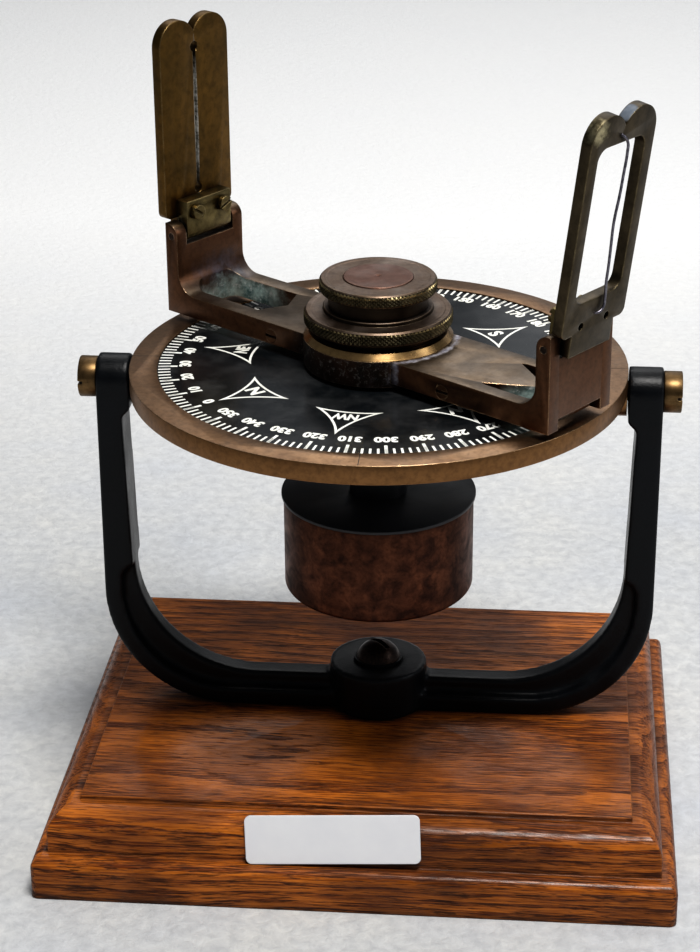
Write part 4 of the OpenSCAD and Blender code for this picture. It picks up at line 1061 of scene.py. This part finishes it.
def hollow_sided(corners, sag, steps):
    """The outline through three corners whose sides curve in towards the middle."""
    middle = sum((Vector(corner) for corner in corners), Vector((0, 0))) / 3
    line = []
    for k, start in enumerate(corners):
        start, end = Vector(start), Vector(corners[(k + 1) % 3])
        pull = (middle - (start + end) / 2).normalized() * sag * (end - start).length
        for step in range(steps):
            t = step / steps
            line.append(tuple(start.lerp(end, t) + pull * 4 * t * (1 - t)))
    return line


def shrunk(line, by):
    """The outline moved inward by a distance, corner by corner."""
    count = len(line)
    moved = []
    for k in range(count):
        before, here, after = (Vector(line[(k + step) % count]) for step in (-1, 0, 1))
        into, away = (here - before).normalized(), (after - here).normalized()
        left_in, left_out = Vector((-into.y, into.x)), Vector((-away.y, away.x))
        middle = (left_in + left_out).normalized()
        moved.append(tuple(here + middle * by / max(0.22, middle.dot(left_in))))
    return moved


def point_arrow():
    """The pointed mark at each of the eight main points: a triangle with hollow sides, drawn as an outline."""
    corners = [(0, ARROW_LENGTH / 2), (-ARROW_HALF, -ARROW_LENGTH / 2), (ARROW_HALF, -ARROW_LENGTH / 2)]
    outer = hollow_sided(corners, 0.08, 8)
    return outline_plate(outer, shrunk(outer, ARROW_LINE))


POINT_NAMES = {0: "N", 45: "NE", 90: "E", 135: "SE", 180: "S", 225: "SW", 270: "W", 315: "NW"}
dial_marks = []
for bearing in range(0, 360, 10):
    numeral = lettering(str(bearing), NUMERAL_SIZE, 0.30 * MM)
    dial_marks.append(on_dial(numeral, bearing, NUMERAL_RADIUS, NUMERAL_ASIDE, 0.98))
for bearing, word in POINT_NAMES.items():
    size, wide = (8.6, 1.0) if len(word) == 1 else (7.4, 0.76)
    dial_marks.append(on_dial(point_arrow(), bearing, ARROW_RADIUS, ARROW_ASIDE))
    letters = lettering(word, size * MM, 0.045 * size * MM)
    dial_marks.append(on_dial(letters, bearing, POINT_RADIUS, POINT_ASIDE, wide))
card_words = joined("card_lettering", dial_marks)
short_ticks = ticks("card_short_ticks", 2, 84.8 * MM, 0.95 * MM)
long_ticks = ticks("card_long_ticks", 10, 81.9 * MM, 1.25 * MM)
for marks in (card_words, short_ticks, long_ticks):
    marks.data.transform(GIMBAL)
    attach(marks, "card")


# ---- the ring's four lubber lines: thin dark strips that stand 0.02 mm proud and read as engraved

def make_lubber_lines():
    top = gimbal_box("compass_ring")[1].z
    inner, outer = 90.4 * MM, 101.3 * MM
    wide, thick, sunk = 0.32 * MM, 0.06 * MM, 0.01 * MM
    bm = bmesh.new()
    for quarter in range(4):
        made = bmesh.ops.create_cube(bm, size=1.0)["verts"]
        size = Matrix.Diagonal((outer - inner, wide, thick, 1))
        place = Matrix.Translation(((inner + outer) / 2, 0, top - sunk))
        bmesh.ops.transform(bm, matrix=Matrix.Rotation(quarter * math.pi / 2, 4, "Z") @ place @ size, verts=made)
    made = new_object("lubber_lines", mesh_from(bm, "lubber_lines"), engraved_line)
    made.data.transform(GIMBAL)
    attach(made, "gimbal_ring")


make_lubber_lines()


# ---- the floor, the lights and the camera

def make_floor():
    bm = bmesh.new()
    bmesh.ops.create_grid(bm, x_segments=2, y_segments=2, size=4.0)
    made = Finish("pale_cloth", Roughness=0.9, Specular_IOR_Level=0.2)
    tree, where = made.tree, made.where
    nap = noise(tree, where, 170.0, 5.0, 0.62, 0.3)
    cloud = noise(tree, where, 11.0, 4.0, 0.6)
    tone = mix(tree, stretch(tree, cloud, 0.35, 0.7), (0.64, 0.64, 0.625), (0.55, 0.57, 0.605))
    tone = mix(tree, stretch(tree, nap, 0.35, 0.68, 0.0, 0.6), tone, (0.40, 0.41, 0.43))
    # Painted light: the cloth is made paler towards the back, for the light that falls brighter there.
    away = stretch(tree, along(tree, where, 1), 0.25, 0.8, 0.0, 0.9)
    tone = mix(tree, away, tone, (0.97, 0.97, 0.97))
    cloth = made.finished(tone, 0.9, nap, 0.0022, 0.55)
    floor = new_object("table_cloth", mesh_from(bm, "table_cloth"), cloth)


def area_light(name, place, aim, size, power, tint=(1.0, 1.0, 1.0)):
    data = bpy.data.lights.new(name, "AREA")
    data.shape = "RECTANGLE"
    data.size, data.size_y = size
    data.energy = power
    data.color = tint
    light = linked(name, data)
    light.location = place
    light.rotation_euler = (Vector(aim) - Vector(place)).to_track_quat("-Z", "Y").to_euler()


make_floor()
area_light("ceiling_lamp", (0.28, -0.52, 1.75), (0, 0, 0.1), (0.55, 0.42), 27, (1.0, 0.98, 0.95))
area_light("overhead_panel", (0.1, 1.0, 1.75), (0.0, 0.1, 0.05), (1.8, 1.0), 9, (1.0, 0.99, 0.97))
area_light("backdrop_lamp", (0.0, 1.7, 1.5), (0.0, 1.35, 0.0), (1.6, 0.7), 6.0)
area_light("right_window", (1.5, -0.2, 0.9), (0, 0, 0.12), (0.7, 0.9), 5, (0.93, 0.96, 1.0))
area_light("back_wall", (1.1, 2.6, 1.15), (0, 0, 0.2), (2.4, 1.2), 4, (0.95, 0.97, 1.0))
world = bpy.data.worlds.new("studio")
bpy.context.scene.world = world
world.use_nodes = True
world.node_tree.nodes["Background"].inputs[0].default_value = (0.86, 0.92, 1.0, 1.0)
world.node_tree.nodes["Background"].inputs[1].default_value = 0.10
bpy.context.scene.view_settings.view_transform = "Standard"
bpy.context.scene.view_settings.look = "Medium High Contrast"

# The camera stands where the photograph was taken from
CAMERA_PLACE = (0.072245, -0.913845, 0.542816)
CAMERA_LENS = 90.68
CAMERA_YAW, CAMERA_PITCH, CAMERA_ROLL = math.radians(5.072978), math.radians(23.541147), math.radians(-0.272771)
back = Vector((math.sin(CAMERA_YAW) * math.cos(CAMERA_PITCH), -math.cos(CAMERA_YAW) * math.cos(CAMERA_PITCH),
               math.sin(CAMERA_PITCH)))
level_right = Vector((math.cos(CAMERA_YAW), math.sin(CAMERA_YAW), 0))
level_up = back.cross(level_right)
right = level_right * math.cos(CAMERA_ROLL) + level_up * math.sin(CAMERA_ROLL)
up = level_up * math.cos(CAMERA_ROLL) - level_right * math.sin(CAMERA_ROLL)
camera_data = bpy.data.cameras.new("camera")
camera_data.lens = CAMERA_LENS
camera_data.sensor_width = 36.0
camera_data.clip_start, camera_data.clip_end = 0.05, 30.0
camera = linked("camera", camera_data)
axes = Matrix((right, up, back)).transposed().to_4x4()
camera.matrix_world = Matrix.Translation(CAMERA_PLACE) @ axes
bpy.context.scene.camera = camera
